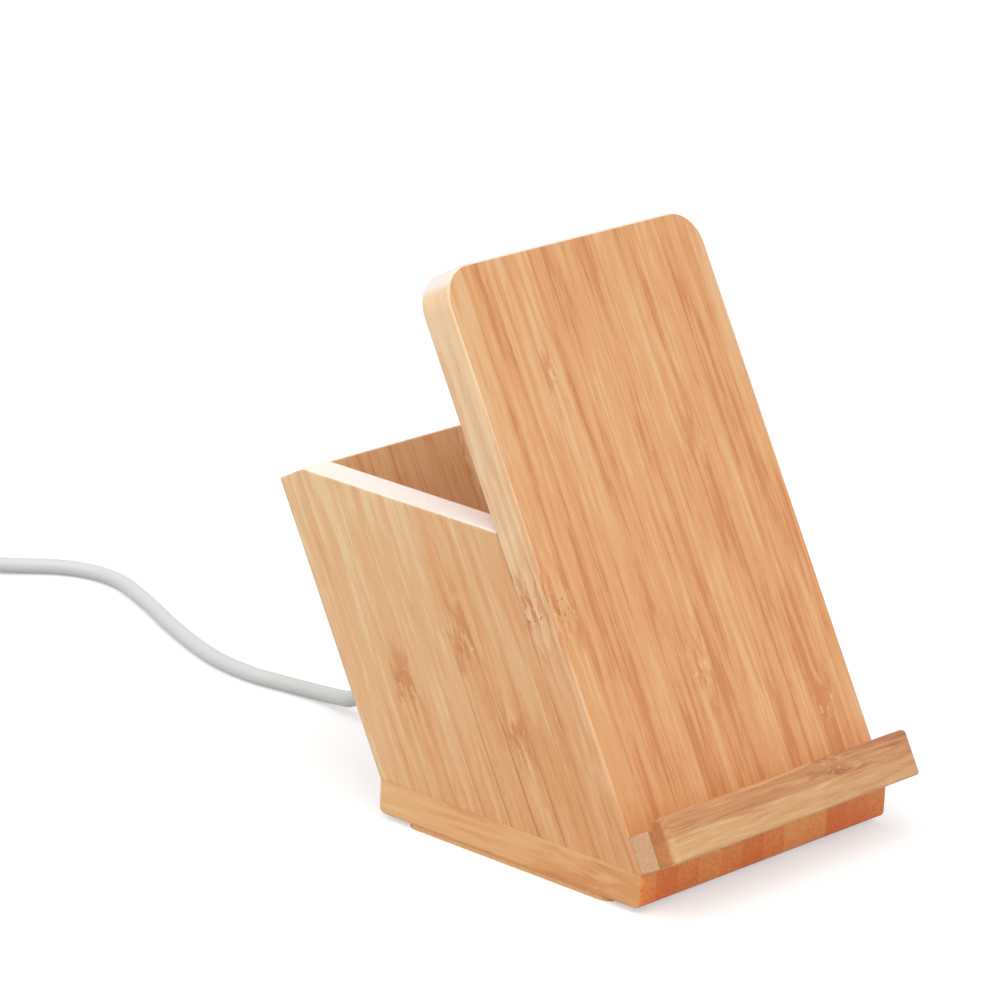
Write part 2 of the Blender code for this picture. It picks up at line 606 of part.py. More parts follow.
def build_charger(stand, lean):
    """Flat coil, its shield and its lead in the pocket, and the circuit board under the well."""
    copper = paint("enamelled_copper", "B5683A", 0.35, 0.9)
    ferrite = paint("ferrite_shield", "3A3A3C", 0.70)
    rubber = paint("lead_insulation", "2B2B2D", 0.50)
    laminate = paint("circuit_laminate", "1F5C3C", 0.40)
    tin = paint("socket_steel", "B9BCC0", 0.30, 1.0)
    black = paint("chip_body", "1D1E20", 0.45)
    ceramic = paint("capacitor_ceramic", "A98C66", 0.50)

    # The coil winds outwards in a flat spiral and turns down into the groove
    inner_radius = CHARGE_RADIUS - CHARGE_PITCH * CHARGE_TURNS
    lean_angle = asin(CHARGE_EXIT_RADIUS / (CHARGE_RADIUS + CHARGE_EXIT_RADIUS))
    last_angle = 3 * pi / 2 - lean_angle
    steps = CHARGE_TURNS * LOOP_STEPS
    winding = []
    for step in range(steps + 1):
        angle = last_angle - 2 * pi * (steps - step) / LOOP_STEPS
        radius = inner_radius + CHARGE_PITCH * step / LOOP_STEPS
        winding.append((radius * cos(angle), 0, radius * sin(angle)))
    gap = least_gap(winding, CHARGE_WIRE, LOOP_STEPS // 2)
    turn_x = CHARGE_RADIUS * cos(last_angle) * (1 + CHARGE_EXIT_RADIUS / CHARGE_RADIUS)
    turn_z = CHARGE_RADIUS * sin(last_angle) * (1 + CHARGE_EXIT_RADIUS / CHARGE_RADIUS)
    for step in range(1, CORNER_STEPS + 1):
        angle = pi / 2 - lean_angle - (pi / 2 - lean_angle) * step / CORNER_STEPS
        winding.append((
            turn_x + CHARGE_EXIT_RADIUS * cos(angle),
            0,
            turn_z + CHARGE_EXIT_RADIUS * sin(angle),
        ))
    winding.append((winding[-1][0], 0, winding[-1][2] - CHARGE_WIRE))
    print("charging coil: length", round(length_of(winding), 4), "least gap to itself", round(gap, 5))
    tube("charging_coil", winding, CHARGE_WIRE / 2, copper, 1, (0, CHARGE_DEPTH, CHARGE_CENTRE), lean)

    disc = [
        (SHIELD_RADIUS * cos(2 * pi * step / DISC_STEPS), SHIELD_RADIUS * sin(2 * pi * step / DISC_STEPS))
        for step in range(DISC_STEPS)
    ]
    shield_mesh = prism(disc, SHIELD_DEPTH, SHIELD_DEPTH + SHIELD_THICKNESS, "Y")
    piece("ferrite_sheet", shield_mesh, ferrite, (0, 0, CHARGE_CENTRE), lean)

    # The board lies on the base, just inside the rear wall
    electronics = frame("electronics_frame", (0, FRONT_Y, BASE_TOP), parent=stand)
    board_rise = PLUG_RISE - SOCKET_HEIGHT / 2 - JOINT_GAP - BOARD_THICKNESS
    board_rear = behind(REAR_INNER, board_rise) - BOARD_REAR_CLEARANCE
    board_y = board_rear - BOARD_LENGTH / 2
    board_mesh = box(BOARD_WIDTH, BOARD_LENGTH, BOARD_THICKNESS)
    piece("circuit_board", board_mesh, laminate, (0, board_y, board_rise), electronics)

    # The lead runs down the groove and bends back onto the board
    deck = board_rise + BOARD_THICKNESS + JOINT_GAP
    lead_radius = COIL_LEAD_DIAMETER / 2
    lead_depth = POCKET_SKIN + JOINT_GAP + lead_radius
    lead_level = deck + lead_radius
    lead_top = CHARGE_CENTRE + winding[-1][2] - JOINT_GAP
    bend_place = level(lead_level + COIL_LEAD_BEND, lead_depth + COIL_LEAD_BEND)
    straight = lead_top - bend_place
    lead = []
    for step in range(CORNER_STEPS):
        y, z = on_lean(lead_top - straight * step / CORNER_STEPS, lead_depth)
        lead.append((0, y, z))
    bend_y, bend_z = on_lean(bend_place, lead_depth + COIL_LEAD_BEND)
    for step in range(2 * CORNER_STEPS + 1):
        angle = pi - LEAN + (pi / 2 + LEAN) * step / (2 * CORNER_STEPS)
        lead.append((0, bend_y + COIL_LEAD_BEND * cos(angle), bend_z + COIL_LEAD_BEND * sin(angle)))
    lead_end = board_rear - BOARD_LENGTH + COIL_LEAD_REACH
    lead.append((0, lead_end - 2 * COIL_LEAD_DIAMETER, lead_level))
    lead.append((0, lead_end, lead_level))
    tube("coil_lead", lead, lead_radius, rubber, 2, (0, 0, 0), electronics)

    # Chips and capacitors sit on the board in front of the socket
    socket_back = board_rear + SOCKET_OVERHANG - SOCKET_LENGTH
    chip_y = socket_back - CONTROLLER_SIZE
    chip_x = BOARD_WIDTH / 4
    controller = box(CONTROLLER_SIZE, CONTROLLER_SIZE, CONTROLLER_HEIGHT)
    ease_edges(piece("controller_chip", controller, black, (-chip_x, chip_y, deck), electronics), CHIP_EASE, 1)
    power = box(POWER_CHIP_WIDTH, POWER_CHIP_LENGTH, POWER_CHIP_HEIGHT)
    ease_edges(piece("power_chip", power, black, (chip_x, chip_y, deck), electronics), CHIP_EASE, 1)
    for index in range(CAPACITOR_COUNT):
        x = CAPACITOR_STEP * (index - (CAPACITOR_COUNT - 1) / 2)
        body = box(CAPACITOR_WIDTH, CAPACITOR_LENGTH, CAPACITOR_HEIGHT)
        name = "capacitor_" + "abcdefgh"[index]
        place = (x, chip_y - CONTROLLER_SIZE / 2 - CAPACITOR_LENGTH, deck)
        ease_edges(piece(name, body, ceramic, place, electronics), CHIP_EASE, 1)

    # The socket hangs a little past the board, with its tongue inside
    outline = filleted(rectangle(SOCKET_WIDTH, SOCKET_HEIGHT), [SOCKET_CORNER_RADIUS] * 4)
    shell = hollow(outline, SOCKET_LENGTH, SOCKET_WALL, SOCKET_BACK, True)
    piece("usb_socket_shell", shell, tin, (0, socket_back, PLUG_RISE), electronics)
    tongue_y = socket_back + SOCKET_BACK + JOINT_GAP
    tongue_length = SOCKET_LENGTH - SOCKET_BACK - JOINT_GAP - TONGUE_SETBACK
    tongue = prism(rectangle(TONGUE_WIDTH, TONGUE_HEIGHT), 0, tongue_length, "Y")
    piece("usb_socket_tongue", tongue, black, (0, tongue_y, PLUG_RISE), electronics)
    return socket_back + SOCKET_LENGTH


def build_cable(stand, mouth):
    """Cable from the socket over the desk to a tied store, with the plug at its far end."""
    jacket = paint("cable_jacket", "E4E6E4", 0.45)
    moulding = paint("plug_moulding", "ECEDEB", 0.40)
    steel = paint("plug_steel", "C4C6C9", 0.25, 1.0)
    strap = paint("tie_strap", "D5D6D4", 0.60)
    core = paint("plug_tongue", "F0F0EE", 0.50)

    # The plug slides in and out along this frame's Y axis
    axis_z = BASE_TOP + PLUG_RISE
    grip_y = FRONT_Y + mouth + PLUG_STANDOFF
    cable = frame("cable_frame", (0, grip_y, axis_z), parent=stand)
    to_world = (0, -grip_y, -axis_z)

    shell_width = SOCKET_WIDTH - 2 * (SOCKET_WALL + PLUG_FIT)
    shell_height = SOCKET_HEIGHT - 2 * (SOCKET_WALL + PLUG_FIT)
    shell_radius = SOCKET_CORNER_RADIUS - SOCKET_WALL - PLUG_FIT
    shell_outline = filleted(rectangle(shell_width, shell_height), [shell_radius] * 4)
    shell = hollow(shell_outline, PLUG_SHELL_LENGTH, PLUG_WALL, PLUG_SHELL_BACK, False)
    piece("cable_plug_shell", shell, steel, (0, -JOINT_GAP - PLUG_SHELL_LENGTH, 0), cable)

    grip_outline = filleted(rectangle(PLUG_GRIP_WIDTH, PLUG_GRIP_HEIGHT), [PLUG_GRIP_RADIUS] * 4)
    grip = piece("cable_plug_grip", prism(grip_outline, 0, PLUG_GRIP_LENGTH, "Y"), moulding, (0, 0, 0), cable)
    ease_edges(grip, PLUG_GRIP_END_RADIUS)

    relief_y = PLUG_GRIP_LENGTH + JOINT_GAP
    relief = []
    scales = []
    for step in range(2 * RELIEF_RIB_COUNT + 1):
        share = step / (2 * RELIEF_RIB_COUNT)
        diameter = RELIEF_WIDE_DIAMETER + (RELIEF_END_DIAMETER - RELIEF_WIDE_DIAMETER) * share
        rib = RELIEF_RIB_DEPTH if step % 2 else 0
        relief.append((0, RELIEF_LENGTH * share, 0))
        scales.append((diameter - 2 * rib) / RELIEF_WIDE_DIAMETER)
    wide = RELIEF_WIDE_DIAMETER / 2
    tube("cable_plug_relief", relief, wide, moulding, 3, (0, relief_y, 0), cable, scales)

    # The stored length lies in two layers: in along the upper one, then out again along the lower one
    lower = TIE_DESK_CLEARANCE + TIE_THICKNESS + JOINT_GAP + CABLE_RADIUS
    upper = lower + STORED_PITCH
    inner_radius = STORED_RADIUS - STORED_PITCH * STORED_TURNS_PER_LAYER
    stored = [(STORED_RADIUS, -CABLE_DIAMETER, upper)]
    steps = round(2 * STORED_TURNS_PER_LAYER * LOOP_STEPS)
    for step in range(steps + 1):
        turned = step / LOOP_STEPS
        radius = inner_radius + STORED_PITCH * abs(turned - STORED_TURNS_PER_LAYER)
        fall = min(max(2 * (turned - STORED_TURNS_PER_LAYER) + 0.5, 0), 1)
        angle = 2 * pi * turned
        height = upper + (lower - upper) * fall * fall * (3 - 2 * fall)
        stored.append((radius * cos(angle), radius * sin(angle), height))
    stored.append((stored[-1][0], stored[-1][1] + STORED_TAIL, lower))
    place = (STORED_CENTRE[0], STORED_CENTRE[1] - grip_y, -axis_z)
    store = frame("store_frame", place, (0, 0, STORED_HEADING), cable)
    tube("cable_coil", stored, CABLE_RADIUS, jacket, 1, (0, 0, 0), store)

    # The free stretch starts straight out of the relief and ends straight into the stored length
    start_y = grip_y + relief_y + RELIEF_LENGTH + JOINT_GAP
    route = [(0, start_y, axis_z), (0, start_y + CABLE_EXIT_RUN, axis_z)]
    route += CABLE_ROUTE
    for run in (3 * CABLE_DIAMETER, CABLE_DIAMETER):
        local_y = -run - JOINT_GAP
        route.append((
            STORED_CENTRE[0] + STORED_RADIUS * cos(STORED_HEADING) - local_y * sin(STORED_HEADING),
            STORED_CENTRE[1] + STORED_RADIUS * sin(STORED_HEADING) + local_y * cos(STORED_HEADING),
            upper,
        ))
    points = smooth_route(route, CABLE_POINT_SPACING, CABLE_RADIUS + DESK_CLEARANCE)
    tube("cable_lead", points, CABLE_RADIUS, jacket, 2, to_world, cable)
    print("cable: free length", round(length_of(points), 4), "stored length", round(length_of(stored), 4))
    print("cable: least gap to itself in the stored length", round(least_gap(stored, CABLE_DIAMETER, LOOP_STEPS // 2), 5))

    # The tie goes round all the turns on the side away from the ends
    near = STORED_RADIUS + CABLE_RADIUS + JOINT_GAP
    hub = inner_radius - CABLE_RADIUS - JOINT_GAP
    far = (hub * hub - TIE_WIDTH * TIE_WIDTH / 4) ** 0.5
    low = lower - CABLE_RADIUS - JOINT_GAP
    high = upper + CABLE_RADIUS + JOINT_GAP
    inside = [(-near, low), (-far, low), (-far, high), (-near, high)]
    out = TIE_THICKNESS
    outside = [(-near - out, low - out), (-far + out, low - out), (-far + out, high + out), (-near - out, high + out)]
    tie_mesh = band(
        filleted(inside, [TIE_CORNER_RADIUS] * 4),
        filleted(outside, [TIE_CORNER_RADIUS + out] * 4),
        TIE_WIDTH,
    )
    piece("cable_tie", tie_mesh, strap, (0, 0, 0), store)

    # The far plug lies beside the stored length, flat on the desk
    far_axis = FAR_GRIP_HEIGHT / 2 + DESK_CLEARANCE
    bend = []
    scales = []
    for step in range(LOOP_STEPS // 2 + 1):
        share = step / (LOOP_STEPS // 2)
        eased = share * share * (3 - 2 * share)
        bend.append((0, FAR_RELIEF_LENGTH * share, lower + (far_axis - lower) * eased))
        diameter = CABLE_DIAMETER + (FAR_RELIEF_WIDE_DIAMETER - CABLE_DIAMETER) * share
        scales.append(diameter / FAR_RELIEF_WIDE_DIAMETER)
    far_relief_y = STORED_TAIL + JOINT_GAP
    wide = FAR_RELIEF_WIDE_DIAMETER / 2
    tube("usb_a_relief", bend, wide, moulding, 2, (STORED_RADIUS, far_relief_y, 0), store, scales)

    far_grip_y = far_relief_y + FAR_RELIEF_LENGTH + JOINT_GAP
    far_outline = filleted(rectangle(FAR_GRIP_WIDTH, FAR_GRIP_HEIGHT), [FAR_GRIP_RADIUS] * 4)
    far_mesh = prism(far_outline, 0, FAR_GRIP_LENGTH, "Y")
    for vertex in far_mesh.vertices:
        if vertex.co.y < FAR_GRIP_LENGTH / 2:
            vertex.co.x *= 1 - 2 * FAR_GRIP_TAPER / FAR_GRIP_WIDTH
            vertex.co.z *= 1 - 2 * FAR_GRIP_TAPER / FAR_GRIP_HEIGHT
    far_grip = piece("usb_a_grip", far_mesh, moulding, (STORED_RADIUS, far_grip_y, far_axis), store)
    ease_edges(far_grip, EDGE_EASE)

    far_shell_y = far_grip_y + FAR_GRIP_LENGTH + JOINT_GAP
    far_shell_outline = filleted(rectangle(FAR_SHELL_WIDTH, FAR_SHELL_HEIGHT), [FAR_SHELL_CORNER_RADIUS] * 4)
    far_shell = hollow(far_shell_outline, FAR_SHELL_LENGTH, FAR_SHELL_WALL, FAR_SHELL_BACK, True)
    piece("usb_a_shell", far_shell, steel, (STORED_RADIUS, far_shell_y, far_axis), store)
    tongue_width = FAR_SHELL_WIDTH - 2 * (FAR_SHELL_WALL + JOINT_GAP)
    tongue_length = FAR_SHELL_LENGTH - FAR_SHELL_BACK - JOINT_GAP - FAR_TONGUE_SETBACK
    tongue = prism(rectangle(tongue_width, FAR_TONGUE_THICKNESS), 0, tongue_length, "Y")
    tongue_z = far_axis + FAR_SHELL_HEIGHT / 2 - FAR_SHELL_WALL - JOINT_GAP - FAR_TONGUE_THICKNESS / 2
    tongue_y = far_shell_y + FAR_SHELL_BACK + JOINT_GAP
    piece("usb_a_tongue", tongue, core, (STORED_RADIUS, tongue_y, tongue_z), store)


def band(inside, outside, width):
    """Closed strap of a width along Y, between two outlines of as many points."""
    bm = bmesh.new()
    rings = []
    for outline, y in ((inside, -width / 2), (outside, -width / 2), (outside, width / 2), (inside, width / 2)):
        rings.append([bm.verts.new((point[0], y, point[1])) for point in outline])
    count = len(inside)
    for index in range(4):
        first = rings[index]
        second = rings[(index + 1) % 4]
        for spot in range(count):
            after = (spot + 1) % count
            bm.faces.new((first[spot], first[after], second[after], second[spot]))
    if bm.calc_volume(signed=True) < 0:
        bmesh.ops.reverse_faces(bm, faces=bm.faces)
    mesh = bpy.data.meshes.new("band")
    bm.to_mesh(mesh)
    bm.free()
    return mesh


# Start from an empty scene
for old in list(bpy.data.objects):
    bpy.data.objects.remove(old, do_unlink=True)

stand_frame = frame("stand_frame", (0, 0, 0))
lean_frame = frame("lean_frame", (0, FRONT_Y, BASE_TOP), (-LEAN, 0, 0), stand_frame)
build_body(stand_frame, lean_frame)
socket_mouth = build_charger(stand_frame, lean_frame)
build_cable(stand_frame, socket_mouth)
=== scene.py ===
# %% [markdown]
# # Bamboo desk holder with a charging face
#
# A block of glued bamboo boards leans back by 29 degrees. Its face has a ledge at the foot and a flat
# charging coil inside, and behind the face is a deep well with a level rim. A white cable comes out at the
# back.
#
# The imported CAD model is the frame: every size, place and joint comes from it, and this file only dresses it.
# So the first step loads it.

# %% Load the imported model
from contextlib import contextmanager
from math import asin, cos, degrees, pi, radians, sin, tan
from types import SimpleNamespace

import bmesh
import bpy
from mathutils import Matrix, Vector


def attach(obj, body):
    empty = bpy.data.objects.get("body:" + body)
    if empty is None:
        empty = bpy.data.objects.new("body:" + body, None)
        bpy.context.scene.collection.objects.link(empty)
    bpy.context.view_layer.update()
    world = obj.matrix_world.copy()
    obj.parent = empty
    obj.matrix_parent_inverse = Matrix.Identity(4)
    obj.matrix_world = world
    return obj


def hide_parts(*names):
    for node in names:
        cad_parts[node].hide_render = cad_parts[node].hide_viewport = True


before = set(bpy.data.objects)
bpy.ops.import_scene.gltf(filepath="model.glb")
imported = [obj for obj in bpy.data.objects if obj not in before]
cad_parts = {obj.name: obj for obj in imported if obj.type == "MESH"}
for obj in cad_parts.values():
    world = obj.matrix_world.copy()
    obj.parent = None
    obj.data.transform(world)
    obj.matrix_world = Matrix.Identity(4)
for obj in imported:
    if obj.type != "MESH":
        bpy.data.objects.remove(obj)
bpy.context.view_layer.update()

# %% [markdown]
# ## Helpers for every finish
#
# A maker picks a colour on a screen, as an sRGB code, but a shader counts in linear light, so one
# function turns the first into the second. Another adds a node, sets it and links it in one line, and a third
# adds a row of nodes that feed each other, so that a finish reads from top to bottom like a recipe. All
# finishes end alike: a relief that only the light sees, a surface, and the way out.

# %% Colour and node helpers
MODES = {"Math": "operation", "VectorMath": "operation", "MapRange": "interpolation_type", "Mix": "data_type"}


def to_linear(code):
    """Linear colour of an sRGB hex code."""
    shares = [int(code[spot:spot + 2], 16) / 255 for spot in (0, 2, 4)]
    return [c / 12.92 if c <= 0.04045 else ((c + 0.055) / 1.055) ** 2.4 for c in shares] + [1.0]


def add(tree, kind, sockets=(), **settings):
    """Adds a node and links it. kind is its name, and then its mode if it needs one, as in "Math ADD".
    sockets is a list or a dictionary of values, colour codes, outputs, or nodes for their first output."""
    kind, _, mode = kind.partition(" ")
    node = tree.nodes.new(kind if "Node" in kind else "ShaderNode" + kind)
    if mode:
        settings[MODES[kind]] = mode
    for name, value in settings.items():
        setattr(node, name, value)
    for key, value in sockets.items() if isinstance(sockets, dict) else enumerate(sockets):
        if isinstance(value, bpy.types.Node):
            value = next(output for output in value.outputs if output.enabled)
        if isinstance(value, bpy.types.NodeSocket):
            tree.links.new(value, node.inputs[key])
        else:
            node.inputs[key].default_value = to_linear(value) if isinstance(value, str) else value
    return node


def chain(tree, value, *steps):
    """Adds nodes in a row, each fed by the one before it. A step is a kind and its other inputs in order."""
    for kind, *others in steps:
        value = add(tree, kind, [value, *others])
    return value


def new_finish(name):
    """A new material, its empty tree, and the coordinates to draw on."""
    finish = bpy.data.materials.new(name)
    finish.use_nodes = True
    finish.node_tree.nodes.clear()
    return finish, finish.node_tree, add(finish.node_tree, "TexCoord").outputs


def end_finish(tree, colour, roughness, height, strength, depth, more, invert=False):
    """Ends a finish with its surface. height draws a relief of this depth, and more has other values."""
    bump = add(tree, "Bump", {"Height": height, "Strength": strength, "Distance": depth}, invert=invert)
    surface = {"Base Color": colour, "Roughness": roughness, "Normal": bump, **more}
    add(tree, "OutputMaterial", {"Surface": add(tree, "BsdfPrincipled", surface)})


def put(name, data):
    """A new object in the scene."""
    piece = bpy.data.objects.new(name, data)
    bpy.context.collection.objects.link(piece)
    return piece


print("mid bamboo in linear light:", [round(c, 3) for c in to_linear("DFB180")[:3]])

# %% [markdown]
# ## The camera
#
# The photograph was taken with a long lens from the front left, a little above the rim. The numbers come from
# fitting a pinhole camera to the corners of the boards, so they are exact and need no aiming. The roll is the
# small tilt of the picture about its own middle.

# %% Place the camera
AZIMUTH, ELEVATION, ROLL = radians(-48.569), radians(18.013), radians(2.778)
FOCAL_LENGTH, SENSOR_WIDTH = 206.517, 36   # millimetres
CAMERA_PLACE = (-0.80991, -0.68677, 0.40774)
back = Vector((sin(AZIMUTH) * cos(ELEVATION), -cos(AZIMUTH) * cos(ELEVATION), sin(ELEVATION)))
level_right = Vector((cos(AZIMUTH), sin(AZIMUTH), 0))
level_up = back.cross(level_right)
right = level_right * cos(ROLL) + level_up * sin(ROLL)
up = level_up * cos(ROLL) - level_right * sin(ROLL)
lens = bpy.data.cameras.new("photo_camera")
lens.sensor_fit = "HORIZONTAL"
lens.sensor_width = SENSOR_WIDTH
lens.lens = FOCAL_LENGTH
lens.clip_start, lens.clip_end = 0.05, 100
camera = put("photo_camera", lens)
camera.matrix_world = Matrix((right, up, back)).transposed().to_4x4()
camera.location = CAMERA_PLACE
bpy.context.scene.camera = camera
bpy.context.scene.view_settings.view_transform = "Standard"
print("camera to the holder:", round((camera.location - Vector((0, 0, 0.05))).length, 3), "m")

# %% [markdown]
# ## The line of the cable
#
# The cable is one length of limp, round PVC cord, 3.4 mm thick and 1 m long. It leaves the plug at the back
# level, sinks to the desk in a few diameters, swings to the left in one loose curve, and the rest is put away
# in a flat round coil just outside the picture. It could be drawn as a chain of short straight tubes, but a
# Bezier line bends smoothly with few points. Each handle is a third of the way to the next point, along the
# direction of travel, and no handle goes under the desk, so the cable can't either.

# %% Lay the cable's line
CABLE_DIAMETER = 0.0034
DESK_CLEARANCE = 0.00005
SOLID_GAP = 0.0003                       # the CAD solids stand this far apart where they meet
PLUG_AXIS = 0.01165                      # height of the plug's middle line
EXIT = Vector((0, 0.04367, PLUG_AXIS))   # where the cord leaves the plug's strain relief
FREE_RUN = [
    (0, 0.05167, PLUG_AXIS), (-0.0002, 0.0566, 0.0099), (-0.0005, 0.0612, 0.0066), (-0.0003, 0.0660, 0.0040),
    (0.0007, 0.0699, 0.0030), (0.0014, 0.0748, 0.0022), (0.0014, 0.0790, 0.00185), (0.0007, 0.0842, 0.00175),
    (-0.0007, 0.0941, 0.00175), (0.0007, 0.1067, 0.00175), (0.0073, 0.1248, 0.00175),
    (0.0160, 0.1440, 0.00175), (0.0199, 0.1570, 0.00175), (0.0173, 0.1682, 0.00175), (0.0069, 0.1786, 0.0020),
    (-0.0040, 0.1893, 0.0042),
]
STORE_CENTRE, STORE_TURN = Vector((-0.0330, 0.1827, 0)), radians(53)
STORE_RADIUS, STORE_PITCH, STORE_TURNS = 0.0252, 0.0039, 3.5
STORE_LOWER, STORE_UPPER = 0.0029, 0.0068   # heights of the coil's two layers
STORE_TAIL = 0.0068                         # straight end of the cord, before the far plug
PER_TURN = 16


def eased(share):
    """An even share of the way, turned into one with a soft start and a soft stop."""
    return share * share * (3 - 2 * share)


def in_store(x, y, z):
    """Place of a point that is given in the coil's own axes."""
    return STORE_CENTRE + Matrix.Rotation(STORE_TURN, 3, "Z") @ Vector((x, y, z))


def wound(turns):
    """Place on the wound length: inwards over the upper layer, then outwards along the lower one."""
    radius = STORE_RADIUS - STORE_PITCH * (STORE_TURNS - abs(turns - STORE_TURNS))
    fall = eased(min(max(2 * (turns - STORE_TURNS) + 0.5, 0), 1))
    height = STORE_UPPER + (STORE_LOWER - STORE_UPPER) * fall
    return in_store(radius * cos(2 * pi * turns), radius * sin(2 * pi * turns), height)


knots = [EXIT] + [Vector(point) for point in FREE_RUN]
knots += [in_store(STORE_RADIUS, -run * CABLE_DIAMETER - SOLID_GAP, STORE_UPPER) for run in (3, 1)]
free_count = len(knots)
knots += [wound(step / PER_TURN) for step in range(round(2 * STORE_TURNS * PER_TURN) + 1)]
knots += [in_store(STORE_RADIUS, STORE_TAIL, STORE_LOWER)]
cable_data = bpy.data.curves.new("cable_cord", "CURVE")
cable_data.dimensions = "3D"
line = cable_data.splines.new("BEZIER")
line.bezier_points.add(len(knots) - 1)
for spot, knot in enumerate(knots):
    before, after = knots[max(spot - 1, 0)], knots[min(spot + 1, len(knots) - 1)]
    heading = (after - before).normalized()
    point = line.bezier_points[spot]
    point.handle_left_type = point.handle_right_type = "FREE"
    point.co = knot
    point.handle_left = knot - heading * (knot - before).length / 3
    point.handle_right = knot + heading * (after - knot).length / 3
    for handle in (point.handle_left, point.handle_right):
        handle.z = max(handle.z, CABLE_DIAMETER / 2 + DESK_CLEARANCE)
line.resolution_u = cable_data.resolution_u = 5
cable_data.bevel_depth = CABLE_DIAMETER / 2
cable_data.bevel_resolution = 5
cable_data.use_fill_caps = True
cable_cord = put("cable_cord", cable_data)
print("cable:", free_count, "free points,", PER_TURN, "to a turn, length", round(line.calc_length(), 3), "m")

# %% [markdown]
# ## Light and floor
#
# The picture is a plain studio shot on white. The world gives a soft, even light on the holder, weaker than
# the white that stands behind it: so it is bright white only for the rays that the eye gets, straight, by a
# reflection or through glass. The floor is a large pale sheet. It could only glow, but then it would lose the
# holder's shadow. So it is a matt surface that takes the shadow, and the same rays find a little more light
# on it, which lifts it to white.

# %% Make the lamps, the world and the floor
SKY_LIGHT, SKY_SEEN, PAPER_LIFT = 0.66, 1.0, 0.50
FLOOR_HALF = 30


def eye_rays(tree):
    """1 for the rays that bring something to the eye, and 0 for those that only light the scene."""
    ray = add(tree, "LightPath").outputs
    share = add(tree, "Math MAXIMUM", [ray["Is Camera Ray"], ray["Is Glossy Ray"]])
    return add(tree, "Math MAXIMUM", [share, ray["Is Transmission Ray"]])


world = bpy.data.worlds.new("studio")
world.use_nodes = True
sky = world.node_tree
sky.nodes.clear()
ambient, white = (add(sky, "Background", {"Color": "FFFFFF", "Strength": s}) for s in (SKY_LIGHT, SKY_SEEN))
add(sky, "OutputWorld", {"Surface": add(sky, "MixShader", [eye_rays(sky), ambient, white])})
bpy.context.scene.world = world


def sun(name, towards, strength, spread):
    """Large soft lamp, far away in the direction towards."""
    data = bpy.data.lights.new(name, "SUN")
    data.energy = strength
    data.angle = radians(spread)
    lamp = put(name, data)
    lamp.rotation_mode = "QUATERNION"
    lamp.rotation_quaternion = Vector(towards).to_track_quat("Z", "Y")
    print(name, "strength", strength, "spread", spread)


sun("top_left_lamp", (-0.45, -0.10, 0.88), 1.6, 60)
sun("front_lamp", (-0.20, -0.80, 0.55), 0.40, 60)

# Backdrop paper: dull, without any shine, and so faintly flecked that it looks even
floor_finish, tree, where = new_finish("matt_white_backdrop_paper")
fleck = add(tree, "TexNoise", {"Vector": where["Object"], "Scale": 400.0, "Detail": 2.0})
tint = add(tree, "Mix RGBA", {0: fleck, 6: "C4C4C4", 7: "C8C8C8"})
paper = add(tree, "BsdfPrincipled", {"Base Color": tint, "Roughness": 0.95, "Specular IOR Level": 0.0})
lift = add(tree, "Emission", {"Strength": add(tree, "Math MULTIPLY", [eye_rays(tree), PAPER_LIFT])})
add(tree, "OutputMaterial", {"Surface": add(tree, "AddShader", [paper, lift])})
floor_data = bpy.data.meshes.new("studio_floor")
floor_corners = [(FLOOR_HALF * x, FLOOR_HALF * y, 0) for x, y in ((-1, -1), (1, -1), (1, 1), (-1, 1))]
floor_data.from_pydata(floor_corners, [], [(0, 1, 2, 3)])
floor_data.materials.append(floor_finish)
studio_floor = put("studio_floor", floor_data)

# %% [markdown]
# ## The leaning axes
#
# The block leans, but its foot and its rim are level. So a place on it is told as a depth behind the face and
# a place along the lean, and a level cut as a rise above the base. Each board could be drawn upright and then
# turned, but it would have to be turned again in its finish. With these axes the points are right from the
# start.

# %% The leaning axes of the block
LEAN = radians(29)
BASE_TOP = 0.0083
FRONT = -0.044694
ACROSS = Vector((1, 0, 0))
DEEP = Vector((0, cos(LEAN), -sin(LEAN)))
ALONG = Vector((0, sin(LEAN), cos(LEAN)))
TO_REAR = Vector((0, 1, 0))
HEEL = Vector((0, FRONT, BASE_TOP))


def leaning(x, depth, place):
    """Point at a depth behind the face and a place along it, from the foot of the face."""
    return HEEL + ACROSS * x + DEEP * depth + ALONG * place


def in_lean(point):
    """Depth and place along the lean of a point."""
    away = point - HEEL
    return away.dot(DEEP), away.dot(ALONG)


def level_place(rise, depth):
    """Place along the lean that is a rise above the base, at a depth."""
    return (rise + depth * sin(LEAN)) / cos(LEAN)


print("the face leans", round(degrees(LEAN)), "degrees")

# %% [markdown]
# ## Laminated bamboo: the strips
#
# The boards are carbonised bamboo: strips about 6 mm wide are planed, glued edge to edge, sanded flush and
# sealed with a satin clear coat. What the eye gets is a set of parallel strips, each with its own tone, fine
# darker fibres along it, a thin glue line at some joints, and here and there a knuckle, where the cane had
# its ring: a pale eye with brown specks and a reddish stain above and below. On a sawn end the fibres show as
# dots, and the wood looks darker because the ends drink the coat.
#
# A picture of wood could be laid on each board, but it would repeat, and wouldn't run through the block. So
# the finish is worked out at each point inside the wood, in millimetres: X across the strips, Y along the
# grain, Z through the board. A small ledger says for each strip how dark it is, where its knuckle sits and
# how plainly its joint shows. It is kept in a colour ramp with hard steps, one step to a strip.

# %% Strips and their ledger
LEDGER_START, LEDGER_SPAN = -40.0, 200.0   # where along the grain a knuckle may sit, in millimetres
STRIP_SHIFT = (13.7, 5.3, 31.0)            # how far each strip's grain is moved on from its neighbour's


